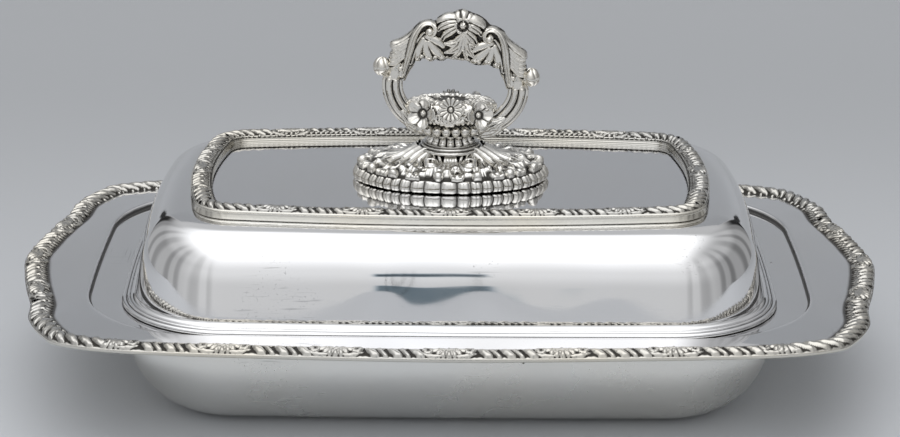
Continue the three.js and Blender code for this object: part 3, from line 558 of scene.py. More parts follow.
# %% Lid wire, moulding and bezel
WIRE = [(0.1, 0.0), (-0.1, 0.5), (0.0, 1.1), (0.4, 1.55), (0.95, 1.65), (1.4, 1.4), (1.6, 0.98)]
MOULDING = [(8.6, 82.2), (8.6, 83.6), (8.45, 83.8), (8.4, 84.5), (8.2, 84.7), (8.15, 85.4), (7.9, 85.6)]
MOULDING += [(7.7, 86.1), (7.2, 86.3), (4.0, 86.3), (1.0, 86.25), (0.1, 86.2), (-0.3, 85.85), (-0.15, 85.4)]
MOULDING += [(0.3, 85.15), (0.45, 84.9), (0.35, 84.3), (0.05, 83.6), (-0.2, 83.0), (-0.35, 82.6)]
MOULDING += [(0.0, 82.3), (0.3, 82.2)]


def lid_ring(name, line, material, node):
    rows = [at_level(lid_outline(inset), level) for inset, level in through(line, 6 * len(line))]
    piece(name, [skin(np.array(rows), closed=True)], "lid", material, [node])


lid_ring("lid_wire_round", [(inset, LIP_LEVEL + up) for inset, up in WIRE], plate, "lid_lip_wire")
moulding_line = [(CROWN_INSET + inset, level) for inset, level in MOULDING]
lid_ring("lid_moulding_rolled", moulding_line, rolled, "lid_moulding")
BEZEL = [(-0.6, 45.1), (-0.6, 41.2), (-0.8, 40.7), (-1.2, 40.6), (-1.4, 41.0), (-1.4, 45.1)]
bezel = np.array([ring(MOUTH, by, z) for by, z in BEZEL])
piece("lid_bezel_ring", [skin(bezel, closed=True)], "lid", satin, ["lid_bezel"])
print("moulding:", len(MOULDING), "points on its section")

# %% [markdown]
# Carved and cast forms are reliefs: heights over a surface. A stroke is a rounded leaf or scroll along
# a path, a knob is a small ball and a bloom is a ring of petals. Each form rises through those under
# it, so that leaves overlap as they do in a casting. Tarnish and painted shade are put where the relief
# lies below its surroundings. They could be sculpted with brushes, but strokes written as numbers are
# easier to mend, to mirror and to repeat.

# %% Relief tools


class Relief:
    """Heights in millimetres over points (a, b)."""

    def __init__(self, a, b, height=0.0):
        self.shape = a.shape
        self.spot = np.stack([a.ravel(), b.ravel()], 1)
        self.height = np.broadcast_to(height, a.shape).ravel().astype(float)

    def near(self, low, high):
        inside = (self.spot > low) & (self.spot < high)
        return np.nonzero(inside.all(1))[0]

    def rise(self, at, values):
        self.height[at] = np.maximum(self.height[at], values)

    def stroke(self, path, halves, tops, ribs=0, groove=0.0, lobes=0, depth=0.3, fall=1.8):
        """A rounded band along a path, with ribs along it and lobes that notch its edge."""
        count = 70
        line = through(path, count)
        run = np.gradient(line, axis=0)
        at = np.linspace(0, 1, count)
        half = np.interp(at, np.linspace(0, 1, len(halves)), halves)
        top = np.interp(at, np.linspace(0, 1, len(tops)), tops)
        picked = self.near(line.min(0) - max(halves), line.max(0) + max(halves))
        arm = self.spot[picked][:, None] - line
        gap = (arm**2).sum(-1)
        k = gap.argmin(1)
        arm = arm[np.arange(len(picked)), k]
        side = np.sign(run[k, 0] * arm[:, 1] - run[k, 1] * arm[:, 0])
        width = half[k]
        if lobes:
            width = width * (1 - 0.25 * np.abs(np.cos(pi * lobes * at[k])))
        across = side * np.sqrt(gap.min(1)) / width
        inside = np.abs(across) < 1
        across, width, k, picked = across[inside], width[inside], k[inside], picked[inside]
        value = top[k] - np.minimum(width, fall) * (1 - np.sqrt(1 - across**2))
        if ribs:
            value -= depth * (1 - np.abs(np.sin(pi * ribs * (across + 1) / 2)) ** 0.8)
        value -= groove * np.exp(-((across / 0.25) ** 2))
        self.rise(picked, value)

    def knob(self, x, y, radius, top):
        picked = self.near((x - radius, y - radius), (x + radius, y + radius))
        gap = ((self.spot[picked] - (x, y)) ** 2).sum(1) / radius**2
        inside = gap < 1
        self.rise(picked[inside], top - radius * (1 - np.sqrt(1 - gap[inside])))

    def bloom(self, x, y, radius, petals, top, dish=0.5, turned=0.0, heart=0.3):
        """A flower: petals that rise to their tips round a sunken heart with a ball in it."""
        picked = self.near((x - radius, y - radius), (x + radius, y + radius))
        arm = self.spot[picked] - (x, y)
        gap = np.hypot(arm[:, 0], arm[:, 1]) / radius
        petal = np.abs(np.cos(petals * (np.arctan2(arm[:, 1], arm[:, 0]) + turned) / 2))
        edge = 0.74 + 0.26 * petal**0.6
        inside = gap < edge
        gap, petal, edge = gap[inside] / edge[inside], petal[inside], edge[inside]
        rim_drop = np.minimum(radius, 1.6) * 0.5 * (1 - np.sqrt(1 - gap**6))
        clefts = 0.35 * dish * (1 - petal**0.5) * np.minimum(gap * 3, 1)
        value = top - dish * (1 - gap) ** 1.5 - rim_drop - clefts
        self.rise(picked[inside], value)
        self.knob(x, y, radius * heart, top - 0.15 * dish)

    @property
    def field(self):
        return self.height.reshape(self.shape)


print("relief tools:", [name for name in vars(Relief) if name[0] != "_"])

# %% [markdown]
# Tarnish and painted shade are put where the relief is lower than what lies round it, and the shade
# stands in for ambient occlusion. Cycles can find such places with an ambient occlusion node, but an
# export can't read it. So the heights are blurred and compared with themselves, and the result goes
# with the mesh.

# %% Hollows


def blurred(height, rounds, closed=True):
    """Heights evened out with those of their four neighbours, round after round."""
    for _ in range(rounds):
        wide = np.pad(height, ((1, 1), (0, 0)), mode="edge")
        wide = np.pad(wide, ((0, 0), (1, 1)), mode="wrap" if closed else "edge")
        inner = wide[1:-1, 1:-1]
        height = (inner + wide[:-2, 1:-1] + wide[2:, 1:-1] + wide[1:-1, :-2] + wide[1:-1, 2:]) / 5
    return height


def hollows(height, strength=2.2, rounds=18, closed=True):
    """How far each point lies below its surroundings, from 0 to 1."""
    return np.clip((blurred(height, rounds, closed) - height) * strength, 0, 1)


# Sums the darkness of tarnish and of painted shade.
def tarnish_and_shade_sum(*depths):
    """Depths added up and kept between 0 and 1."""
    return np.clip(sum(depths), 0, 1)


def raised(grid, height, closed=True):
    """The grid moved out along its normals by the height."""
    down = np.gradient(grid, axis=0)
    around = (np.roll(grid, -1, 1) - np.roll(grid, 1, 1)) / 2 if closed else np.gradient(grid, axis=1)
    normal = np.cross(around, down)
    normal /= np.linalg.norm(normal, axis=2)[..., None] + 1e-9
    if (normal * (grid - grid.mean((0, 1)))).sum() < 0:
        normal = -normal
    return grid + normal * height[..., None]


nick = np.zeros((9, 9))
nick[4, 4] = -1
print("hollow of a nick of 1 mm:", round(float(hollows(nick).max()), 2))

# %% [markdown]
# The rim carries four lengths of stamped border. The die repeats every 44 mm: a fluted shell between
# two scrolls, then fat gadroons with a thin rib between each pair, and a band of small leaves on the
# inner side. On the corners the gadroons grow into a thick twisted rope. All the ground is dark, with
# tarnish and painted shade.
# An Array of modelled leaves on a curve would stretch and gape at the corners. So the die is a field of
# heights, read along the true length of the curve and lifted straight up, much as a real border is
# struck from one die.

# %% Border dies
# The border's section from its outer edge inwards, in shares of its width and height.
RIDGE = [(0, 0), (0.0, 0.3), (0.1, 0.72), (0.28, 0.95), (0.48, 1), (0.68, 0.78), (0.86, 0.45), (1, 0)]
REPEAT, LEAF_PITCH, ROPE_PITCH, DIE_STEP = 44.0, 2.75, 6.3, 0.2
SCROLL = [(3.4, 8.9), (7.0, 8.6), (9.6, 6.2), (9.0, 3.2), (6.9, 3.3), (6.9, 5.0)]
SCROLL_HALVES, SCROLL_TOPS = (0.5, 0.9, 1.15, 1.0, 0.7, 0.6), (0.9, 1.2, 1.3, 1.2, 1.1, 1.0)


def blank_die(half_length):
    """An empty die: x along the border, y from its outer edge (0) inwards."""
    along, inwards = np.arange(-half_length, half_length + 0.01, DIE_STEP), np.arange(0, 10.01, DIE_STEP)
    return Relief(*np.meshgrid(along, inwards, indexing="ij"))


def die():
    """One repeat of the border, and a little more at each end."""
    made = blank_die(30)
    for at in LEAF_PITCH * np.arange(-11, 12):
        leaf = [(at - 0.9, 6.4), (at + 0.2, 8.0), (at + 0.5, 9.7)]
        made.stroke(leaf, (0.7, 1.15, 0.35), (0.8, 0.95, 0.5), groove=0.35)
        made.knob(at + 1.6, 6.9, 0.75, 0.8)
    for at in (-30.8, -22, -13.2, 13.2, 22, 30.8):
        gadroon = [(at + 2.3, 1.0), (at + 0.5, 3.6), (at - 1.7, 6.6)]
        made.stroke(gadroon, (1.9, 2.15, 0.8), (1.1, 1.35, 0.8))
    for at in (-26.4, -17.6, 17.6, 26.4):
        rib = [(at + 2.0, 0.7), (at + 0.4, 3.0), (at - 1.7, 6.8)]
        made.stroke(rib, (0.85, 1.05, 0.6), (0.85, 0.95, 0.7))
        made.knob(at - 0.6, 5.9, 0.9, 1.05)
    for side in (1, -1):
        made.stroke([(side * x, y) for x, y in SCROLL], SCROLL_HALVES, SCROLL_TOPS, groove=0.3)
        leaf = [(side * 3.6, 0.9), (side * 7.4, 1.1), (side * 10.6, 2.4)]
        made.stroke(leaf, (0.5, 0.95, 0.4), (0.8, 1.0, 0.7), groove=0.3)
        made.knob(side * 7.0, 5.2, 1.0, 1.25)
    for turned in np.radians([-66, -44, -22, 0, 22, 44, 66]):
        tip = (5.9 * sin(turned), 7.4 - 6.4 * cos(turned))
        ray = [(0.6 * sin(turned), 7.0), (tip[0] * 0.6, 7.2 - (7.2 - tip[1]) * 0.6), tip]
        made.stroke(ray, (0.35, 0.85, 1.15), (1.1, 1.35, 1.25))
    made.knob(0, 7.9, 1.2, 1.35)
    return made.field


def rope():
    """The twisted gadroons of a corner."""
    made = blank_die(ROPE_PITCH)
    for at in np.arange(-4, 5) * ROPE_PITCH:
        strand = [(at + 4.6, 0.6), (at + 2.4, 2.6), (at - 0.8, 5.4), (at - 4.4, 8.4)]
        made.stroke(strand, (1.2, 2.2, 2.35, 0.9), (1.0, 1.5, 1.6, 1.0), ribs=2, depth=0.22)
        made.knob(at - 1.4, 8.9, 1.0, 0.9)
        made.knob(at + 1.8, 8.4, 0.8, 0.75)
    return made.field


def stamped(field, x, y):
    """Heights read from a die between its points."""
    half = (field.shape[0] - 1) * DIE_STEP / 2
    i, j = (x + half) / DIE_STEP, np.broadcast_to(y / DIE_STEP, x.shape)
    i0, j0 = np.clip(i.astype(int), 0, field.shape[0] - 2), np.clip(j.astype(int), 0, field.shape[1] - 2)
    i, j = i - i0, j - j0
    low = field[i0, j0] * (1 - j) + field[i0, j0 + 1] * j
    return low * (1 - i) + (field[i0 + 1, j0] * (1 - j) + field[i0 + 1, j0 + 1] * j) * i


DIE, ROPE = die(), rope()
print("border dies:", DIE.shape, ROPE.shape)

# %% [markdown]
# Each border is soldered on in four lengths, which meet near the corners. Its section is a low ridge,
# and the die's heights are added to it. Near a corner the pattern turns into the rope. The inner edge
# is not cut straight but follows the tips of the leaves.

# %% Borders


def border_relief(along, across, corner, scale):
    """Heights of the border over lengths in millimetres and shares of its width."""
    x, y = np.broadcast_arrays(along / scale, across * 10)
    worn = 0.06 * np.sin(x * 0.9 + 2.1 * np.sin(x * 0.13)) + 0.05 * np.sin(x * 2.7 + y)
    flat = stamped(DIE, (x + REPEAT / 2) % REPEAT - REPEAT / 2, y)
    twisted = stamped(ROPE, (x + ROPE_PITCH / 2) % ROPE_PITCH - ROPE_PITCH / 2, y)
    height = (1 - corner) * flat + corner * twisted + worn
    return scale * (height * np.clip(across / 0.07, 0, 1) * np.clip((1 - across) / 0.05, 0, 1) - 0.85)


def border_length(name, curve, start, stop, body, size, corners):
    """One length of border, from a share of the curve to another; its inner edge ends in leaf tips."""
    width, height, level, scale = size
    length = np.linalg.norm(np.diff(curve, axis=0), axis=1).sum()
    trim = 0.15 / length
    share = np.linspace(start + trim, stop - trim, int((stop - start) * length / 0.36))
    section = through(RIDGE, 40)
    across = section[:, :1]
    along = (share - (start + stop) / 2) * length
    rings = np.stack([beside(curve, share, width * inset, level + height * up) for inset, up in section])
    near = np.min([np.hypot(*(rings[0, :, :2] - corner).T) for corner in corners], axis=0)
    corner = np.clip((27 * scale - near) / (4 * scale), 0, 1)
    heights = border_relief(along[None], across, corner[None], scale)
    leaves = np.abs(np.sin(pi * along / (LEAF_PITCH * scale)))[None]
    tips = leaves * np.clip((across - 0.85) / 0.15, 0, 1) * 0.7 * scale
    lift = np.maximum(heights, level - 0.1 - rings[..., 2])
    grid = rings + np.stack([0 * heights, 0 * heights, lift], -1)
    inward = rings[-1] - rings[0]
    inward[:, 2] = 0
    grid += inward[None] / width * tips[..., None]
    # Painted shade, with some tarnish: the ground, the hollows and the inner band of leaves are darkened.
    ground = np.clip((-0.25 * scale - heights) / (0.5 * scale), 0, 1) * np.clip(across / 0.12, 0, 1)
    leaf_band = 0.4 * np.clip((across - 0.55) / 0.1, 0, 1)
    depth = tarnish_and_shade_sum(hollows(heights, 2.1 / scale, 8, False), ground, leaf_band)
    piece(name, [skin(grid, depth=depth)], body, border, [name.replace("_relief", "")])


def borders(prefix, curve, joint_y, body, size, corners):
    """The four lengths round a curve, which meet where it is that far from the middle line."""
    joint = np.nonzero(curve[:, 1] >= joint_y)[0][0] / len(curve)
    joints = (-joint, joint, 0.5 - joint, 0.5 + joint, 1 - joint)
    for side, start, stop in zip(("right", "back", "left", "front"), joints, joints[1:]):
        border_length(f"{prefix}_{side}_relief", curve, start, stop, body, size, corners)


RIM_CORNERS = [(x * 157, y * 98) for x in (1, -1) for y in (1, -1)]
LID_CORNERS = [(x * 99, y * 51) for x in (1, -1) for y in (1, -1)]
# Each size is a width, a height, a level and the scale of the die.
borders("rim_border", rim, 58.0, "dish", (10, 2.1, FLANGE, 1.0), RIM_CORNERS)
borders("lid_border", crown, 48.4, "lid", (8.2, 1.6, 86.1, 0.8), LID_CORNERS)
print("border corners:", len(RIM_CORNERS), "on the rim and", len(LID_CORNERS), "on the lid")

# %% [markdown]
# The parts of the handle are stacked on one another, and most of them are round or oval. A squashed
# cylinder could be the start of each. Rings of points at chosen reaches and levels give the same body
# with its section under control.

# %% Oval bodies
# The levels at which the parts of the handle start, and the middle of its loop.
FOOT, COLLAR, NECK, BASKET, LOOP = 83.7, 96.3, 99.9, 103.6, 123.1
FOOT_HALF = (40.6, 26.4)


def oval_grid(profile, half_long, half_wide, columns):
    """Rings of an oval body from (share of reach, level) pairs."""
    turn = np.linspace(0, 2 * pi, columns, endpoint=False)
    rows = []
    for reach, level in profile:
        x, y = half_long * reach * np.cos(turn), half_wide * reach * np.sin(turn)
        rows.append(np.stack([x, y, level + 0 * turn], -1))
    return np.array(rows), turn


def cast(name, parts, node):
    """A piece of the cast handle."""
    piece(name, parts, "handle", casting, [node])


def both_ways(draw):
    """Draws a form four times, mirrored along and across."""
    for x in (1, -1):
        for y in (1, -1):
            draw(x, y)


print("levels of the handle:", FOOT, COLLAR, NECK, BASKET, LOOP)

# %% [markdown]
# The foot of the handle is a cast oval. Its edge is a row of fat petals, no two alike, as the model for
# the casting was cut by hand. Acanthus leaves run down from the collar in S curves, with a smooth
# teardrop in a horseshoe each side of a small fan, and flowers and berries crowd the ground. A Displace
# modifier with a picture could raise all this. The strokes do it without one, and the leaves keep crisp
# edges.

# %% Handle foot
FOOT_LINE = [(0.975, 0.3), (0.995, 0.9), (1.0, 1.9), (0.993, 3.0), (0.975, 4.2), (0.945, 5.2)]
FOOT_LINE += [(0.88, 5.8), (0.76, 6.1), (0.64, 6.6), (0.5, 8.1), (0.4, 10.3), (0.32, 12.3)]
# Reach, count and size of the flowers and berries in each ring.
FOOT_RINGS = [(0.9, 28, 1.0), (0.77, 22, 1.0), (0.64, 16, 0.9)]
FOOT_RINGS += [(0.84, 50, 0.45), (0.7, 40, 0.45), (0.58, 30, 0.45)]
foot_rise = through(FOOT_LINE, 100)
foot_grid, foot_turn = oval_grid(foot_rise, *FOOT_HALF, 760)
foot_grid[..., 2] += FOOT
foot = Relief(foot_grid[..., 0], foot_grid[..., 1])
rng = np.random.default_rng(7)
for ring_reach, count, size in FOOT_RINGS:
    for k in range(count):
        angle = 2 * pi * (k + 0.25 * (count % 3)) / count + 0.04 * rng.standard_normal()
        reach = ring_reach + 0.02 * rng.standard_normal()
        x, y = FOOT_HALF[0] * reach * cos(angle), FOOT_HALF[1] * reach * sin(angle)
        if k % 2 and size > 0.5:
            foot.bloom(x, y, 3.1 * size, 5, 2.6 * size, 1.5, angle, 0.34)
        else:
            foot.knob(x, y, 2.2 * size, 3.3 * size + 0.4 * rng.random())
print("foot:", foot_grid.shape, "points")

# %% [markdown]
# Over the flowers lie the leaves, the same on each quarter, and the teardrop in its horseshoe. Last the
# edge gets its petals. A plain sine wave could make them, but then they look turned by a machine, so
# two slow waves push them about and a third one swells them.

# %% Foot leaves and edge
# Path and half widths of the acanthus leaves on a quarter of the foot.
FOOT_LEAVES = [
    ([(10, -1.2), (16, -0.6), (22, -1.4), (27.5, -4.2), (30.5, -8.0)], [1.6, 2.1, 2.3, 1.9, 0.7]),
    ([(9.5, -3.4), (14.5, -3.4), (19.5, -5.2), (24.0, -8.8), (25.4, -13.0)], [1.5, 2.0, 2.2, 1.8, 0.7]),
    ([(9, -5.4), (13.2, -6.2), (17.6, -8.8), (20.4, -12.4), (20.2, -16.0)], [1.4, 1.9, 2.1, 1.7, 0.7]),
    ([(8, -7.2), (11.4, -8.6), (14.4, -11.4), (15.8, -14.8), (14.8, -17.8)], [1.2, 1.6, 1.7, 1.4, 0.6]),
]
HORSESHOE = [(4.8, -8.6), (4.0, -13.2), (7.0, -18.4), (12.2, -16.2), (11.6, -9.8)]
HORSESHOE_TOPS = [2.8, 3.2, 3.4, 3.2, 2.8]
TEARDROP = [(7.6, -8.7), (7.8, -12.0), (8.0, -14.8)]


def foot_leaves(x, y):
    for path, halves in FOOT_LEAVES:
        halves = [0.8 * half for half in halves]
        foot.stroke([(x * a, y * b) for a, b in path], halves, [2.8, 2.9, 3.0, 3.3, 3.4], ribs=1, depth=0.3)
        foot.knob(x * path[-1][0], y * path[-1][1], 1.6, 3.8)


def foot_horseshoe(x, y):
    """A teardrop in a horseshoe, and the three rays beside it."""
    foot.stroke([(x * a, y * b) for a, b in HORSESHOE], [0.7, 0.9, 1.1, 0.9, 0.7], HORSESHOE_TOPS)
    foot.stroke([(x * a, y * b) for a, b in TEARDROP], [1.7, 2.9, 2.6], [3.3, 4.5, 4.2])
    for k in range(3):
        ray = [(x * 0.8 * k, y * -8.8), (x * 1.35 * k, y * -14), (x * 2.3 * k, y * -18.6)]
        foot.stroke(ray, [0.5, 0.75, 0.9], [2.8, 2.8, 2.4])


both_ways(foot_leaves)
both_ways(foot_horseshoe)
sway = 23 * foot_turn + 0.7 - 0.6 * np.sin(4 * foot_turn) + 0.6 * np.sin(6 * foot_turn + 1)
petals = np.abs(np.sin(sway)) ** 0.5
petals *= 0.85 + 0.15 * np.sin(9 * foot_turn + 2)
scallops = 1.7 * petals - 0.7 - 0.3 * np.exp(-((np.cos(sway) / 0.3) ** 2))
edge = np.clip((foot_rise[:, :1] - 0.94) / 0.03, 0, 1) * np.ones_like(foot_turn)
belly = np.interp(foot_rise[:, 1:], [0.3, 1.4, 3.2, 5.6], [0.5, 0.9, 1, 0.85])
rim_height = edge * belly * scallops
foot_height = np.where(edge > 0.5, rim_height, np.maximum(foot.field * (1 - edge), rim_height))
# Painted shade, with some tarnish: the ground between the forms and the clefts between the edge's petals are
# darkened.
ground = (1 - edge) * np.clip((0.7 - foot_height) / 0.8, 0, 1)
foot_depth = tarnish_and_shade_sum(hollows(foot_height, 2.3, 12), ground, edge * np.clip(0.8 - 2 * petals, 0, 1))
foot_parts = [skin(raised(foot_grid, foot_height), closed=True, depth=foot_depth)]
base_ring = foot_parts[0][0].reshape(foot_grid.shape)[0]
inner_ring = np.column_stack([base_ring[:, :2] * 0.12, base_ring[:, 2]])
foot_parts.append(skin(np.array([base_ring, inner_ring]), closed=True))
cast("foot_relief", foot_parts, "handle_foot")
print("foot relief:", round(float(foot_height.max()), 1), "mm at its highest")

# %% [markdown]
# Under the panel, out of sight, a bolt with a cross key holds the handle. The key passes the slot of a
# plate and a quarter turn locks it, between two stop pins. These parts were turned and filed, and never
# polished. A boolean could cut the slot, but a ring of points that already has the slot's shape leaves
# a cleaner mesh.

# %% Bayonet
slot_turn = np.linspace(0, 2 * pi, 360, endpoint=False) + 0.004
slot_walls = np.minimum(7.5 / np.abs(np.sin(slot_turn)), 2.5 / np.abs(np.cos(slot_turn)))
reaches = (np.maximum(2.9, slot_walls), 14)
hole, disc = (np.stack([r * np.cos(slot_turn), r * np.sin(slot_turn), 0 * slot_turn], -1) for r in reaches)
rows = [(hole, 0.98, 82.4), (hole, 1.0, 82.2), (hole, 1.0, 81.0), (hole, 1.06, 80.8)]
rows += [(disc, 0.97, 80.8), (disc, 1.0, 81.1), (disc, 1.0, 82.4)]
plate_grid = np.array([curve * (share, share, 1) + (0, 0, level) for curve, share, level in rows])
disc_skin = skin(plate_grid, closed=True, depth=0.2)
piece("key_plate_disc", [disc_skin], "lid", fitting, ["key_plate"])
pin, _ = oval_grid([(0.02, 77.8), (0.75, 77.8), (0.95, 77.9), (1.0, 78.2), (1.0, 80.8)], 1, 1, 48)
for name, x, y in (("stop_pin_locked", 5.0, -3.8), ("stop_pin_open", -3.8, 5.0)):
    parts = [skin(pin + (x, y, 0), closed=True, depth=0.1)]
    piece(name + "_round", parts, "lid", fitting, [name])
shank, _ = oval_grid([(0.02, 78.0), (2.2, 78.0), (2.6, 78.3), (2.6, 104.0)], 1, 1, 64)
KEY_HALF = (7.2, 2.2)
KEY_LINE = [(0.02, 78.1), (0.94, 78.1), (1.0, 78.3), (1.0, 80.3), (0.94, 80.5), (0.02, 80.5)]
key, _ = oval_grid(KEY_LINE, 1, 1, 120)
key[..., :2] = np.sign(key[..., :2]) * np.abs(key[..., :2]) ** 0.4 * KEY_HALF
key_parts = [skin(shank, closed=True), skin(key, closed=True, depth=0.1)]
piece("key_bolt_filed", key_parts, "handle", fitting, ["key_bolt"])
print("key", 2 * KEY_HALF[0], "mm long")

# %% [markdown]
# A collar of turned rings and a fluted neck carry the flower basket. A Screw modifier makes turned
# parts like the collar. Rings of points do the same, and can be fluted as they are made.

# %% Collar and neck
# Each line is reaches and heights.
COLLAR_LINE = [(10.6, 0.0), (13.2, 0.1), (13.7, 0.8), (13.1, 1.45), (12.1, 1.55), (12.6, 2.0), (12.2, 2.6)]
COLLAR_LINE += [(11.0, 2.7), (11.4, 3.0), (10.8, 3.35), (8, 3.4)]
# Heights and darkness of the grooves between the rings: painted shade, with some tarnish.
COLLAR_TARNISH_AND_SHADE = [0, 0.3, 1.3, 1.55, 1.8, 2.5, 2.7, 2.9, 3.4], [0.6, 0, 0, 0.7, 0, 0, 0.7, 0, 0.5]
NECK_LINE = [(9.6, -0.3), (9.6, 0.2), (8.9, 1.2), (8.9, 2.3), (9.8, 3.4), (10.0, 4.0)]
collar_line = through(COLLAR_LINE, 70)
collar_grid, _ = oval_grid([(reach, COLLAR + up) for reach, up in collar_line], 1, 1, 200)
collar_depth = np.interp(collar_line[:, 1], *COLLAR_TARNISH_AND_SHADE)[:, None]
cast("collar_rings", [skin(collar_grid, closed=True, depth=collar_depth)], "handle_collar")
neck_line = through(NECK_LINE, 30)
neck_grid, turn = oval_grid([(reach, NECK + up) for reach, up in neck_line], 1, 1, 400)
flutes = 1.7 * np.abs(np.cos(8 * turn))[None] ** 0.6 * np.ones((30, 1)) - 1.1
# The grooves of the flutes are darkened: painted shade, with some tarnish.
neck = skin(raised(neck_grid, flutes), closed=True, depth=tarnish_and_shade_sum(-flutes / 0.5))
cast("neck_flutes", [neck], "handle_neck")
print("neck:", neck_grid.shape, "points")

# %% [markdown]
# On the basket, petals rise from a row of beads, and small flowers crowd above them. The forms could be
# cast one by one and joined. Here they are strokes and blooms on an oval body whose ground is low and
# painted dark as shade, so that they seem to stand free and no hole has to be cut.

# %% Flower basket
# Reaches as shares of the half sizes, and heights.
BASKET_LINE = [(0.5, 0.0), (0.6, 0.6), (0.68, 1.4), (0.72, 3.0), (0.74, 4.8), (0.8, 6.2), (0.9, 8.2)]
BASKET_LINE += [(0.98, 10.4), (0.97, 11.8), (0.85, 12.8), (0.6, 13.3), (0.3, 13.5), (0.02, 13.5)]
BASKET_HALF = (18.4, 10.6)
basket_line = through(BASKET_LINE, 120)
basket_line[:, 1] += BASKET
basket_grid, _ = oval_grid(basket_line, *BASKET_HALF, 520)
basket_grid[..., 1] *= np.interp(basket_grid[..., 2], [BASKET, BASKET + 6, BASKET + 9], [1.3, 1.25, 1.0])
arc_round = np.concatenate([[0], np.cumsum(np.linalg.norm(np.diff(basket_grid[40], axis=0), axis=1))])
steps_down = np.hypot(np.diff(basket_line[:, 0]) * 14, np.diff(basket_line[:, 1]))
run_mm = np.concatenate([[0], np.cumsum(steps_down)])
basket = Relief(*np.broadcast_arrays(arc_round, run_mm[:, None]), -0.2)
girth = arc_round[-1] + (arc_round[1] - arc_round[0])
beads = 20
for k in range(beads):
    at = girth * k / beads
    petal = [(at, 5.6), (at + 0.3, 8.4), (at + 0.6, 10.8)]
    basket.stroke(petal, [1.3, 2.1, 0.6], [0.3, 1.5, 1.1], ribs=2, groove=0.4, depth=0.5)
    basket.stroke([(at + 2.1, 2.0), (at + 2.1, 0.4)], [1.0, 0.8], [1.0, 0.4])
    basket.knob(at + 2.0, 4.5, 1.75, 3.5)
for k in range(22):
    basket.bloom(girth * (k + 0.35) / 22, 10.4 + 1.5 * sin(5 * k), 2.5, 5, 1.7, 1.0, k, 0.36)
    basket.bloom(girth * (k + 0.8) / 22, 14.6 + 1.2 * sin(3 * k), 3.1, 5 + k % 2, 1.5, 1.0, k, 0.3)
for k in range(60):
    basket.knob(girth * ((k * 0.618) % 1), 13 + 9 * ((k * 0.37) % 1), 1.5, 1.3)
# Painted shade, with some tarnish: the hollows and the low ground are darkened.
basket_depth = tarnish_and_shade_sum(hollows(basket.field, 1.5, 10), tarnish_and_shade_sum((0.0 - basket.field) / 0.3))
basket_skin = skin(raised(basket_grid, basket.field), closed=True, depth=basket_depth)
cast("basket_relief", [basket_skin], "handle_basket")
print("basket:", basket_grid.shape, "points")

# %% [markdown]
# Large open flowers lean out over the basket's shoulder, three on each face. Petals could be modelled
# one by one and copied round. A formula over turn and reach makes them all at once, and its counts and
# sizes give each flower its kind. The flowers are skins of their own, because they stand free. From the
# arms up the handle leans a little to the right, as old handles do once somebody has leaned on them.

# %% Open flowers
LEAN_ANGLE = radians(4)


def leaned(points):
    """Points turned with the loop's lean about the collar."""
    c, s = cos(LEAN_ANGLE), sin(LEAN_ANGLE)
    x, z = points[..., 0], points[..., 2] - COLLAR
    return np.stack([x * c + z * s, points[..., 1], z * c - x * s + COLLAR], -1)


def flower(radius, petals, dish, heart, point=0.6):
    """A cast flower that faces up, from its heart to the edge and back down behind it."""
    turn = np.linspace(0, 2 * pi, 18 * petals, endpoint=False)
    share = np.linspace(0, 1, 34)[:, None]
    petal = np.abs(np.cos(petals * turn / 2))[None]
    broad = petals < 9
    reach = radius * share * (1 - (0.36 if broad else 0.24) * (1 - petal**point) * share)
    cleft = (1 - petal**0.4) * np.clip(share * 3 - 0.6, 0, 1)
    veins = 0.14 * (1 - np.abs(np.cos(1.5 * petals * turn))[None] ** 0.5) * (share > 0.4) * broad
    level = dish * share**2 - veins - 0.8 * cleft - 0.9 * share**9
    ball = np.clip(1 - (share * radius / heart) ** 2, 0, None)
    berries = 1 - 0.35 * np.abs(np.sin(3.5 * turn))[None] * np.clip(share * radius / heart * 2 - 0.6, 0, 1)
    bulge = np.maximum(level, heart * 0.8 * np.sqrt(ball) * berries)
    level = np.where(share * radius < heart, bulge, level)
    rows = np.stack([reach * np.cos(turn), reach * np.sin(turn), level], -1)
    skirt = rows[-1] * (0.86, 0.86, 1) - (0, 0, 2.4)
    moat_width = (0.8 if broad and heart < 1.5 else 0.35) * heart
    moat = np.exp(-(((share * radius - heart * 1.2) / moat_width) ** 2)) * (share * radius > heart * 0.95)
    # The clefts, a moat round the heart and the skirt behind the flower are darkened: painted shade, with
    # some tarnish.
    depth = tarnish_and_shade_sum(hollows(level, 1.5, 8), 1.1 * cleft, moat)
    return np.concatenate([rows, skirt[None]]), np.concatenate([depth, np.ones((1, len(turn)))])


def set_flower(name, shape, place, facing, tilt, node, leans=False):
    """Stands a flower on a spot, facing outwards and leaning back by the tilt."""
    grid, depth = shape
    turned = Matrix.Rotation(facing, 3, "Z") @ Matrix.Rotation(pi / 2 - tilt, 3, "X")
    grid = grid @ np.array(turned).T + place
    if leans:
        grid = leaned(grid)
    cast(name, [skin(grid, closed=True, depth=depth)], node)


# Spot, side, form and height of each flower on the basket.
FLOWERS = [
    ("left", -1, flower(6.6, 5, 3.2, 1.3, 0.8), 10.2),
    ("middle", 0, flower(5.2, 14, 1.4, 1.1), 12.6),
    ("right", 1, flower(5.9, 4, 3.0, 1.2, 0.8), 9.6),
]
for side, front, lower in (("front", 0, 0), ("back", pi, 2.6)):
    for spot, offset, shape, up in FLOWERS:
        way = front + offset * radians(38)
        place = np.array([sin(way) * 18.8, -cos(way) * 12.4, BASKET + up - lower])
        facing = atan2(sin(way) / BASKET_HALF[0], cos(way) / BASKET_HALF[1])
        name, node = (f"basket_{kind}_{side}_{spot}" for kind in ("flower", "rosette"))
        set_flower(name, shape, place, facing, radians(14), node)
print("flowers on each face:", len(FLOWERS))

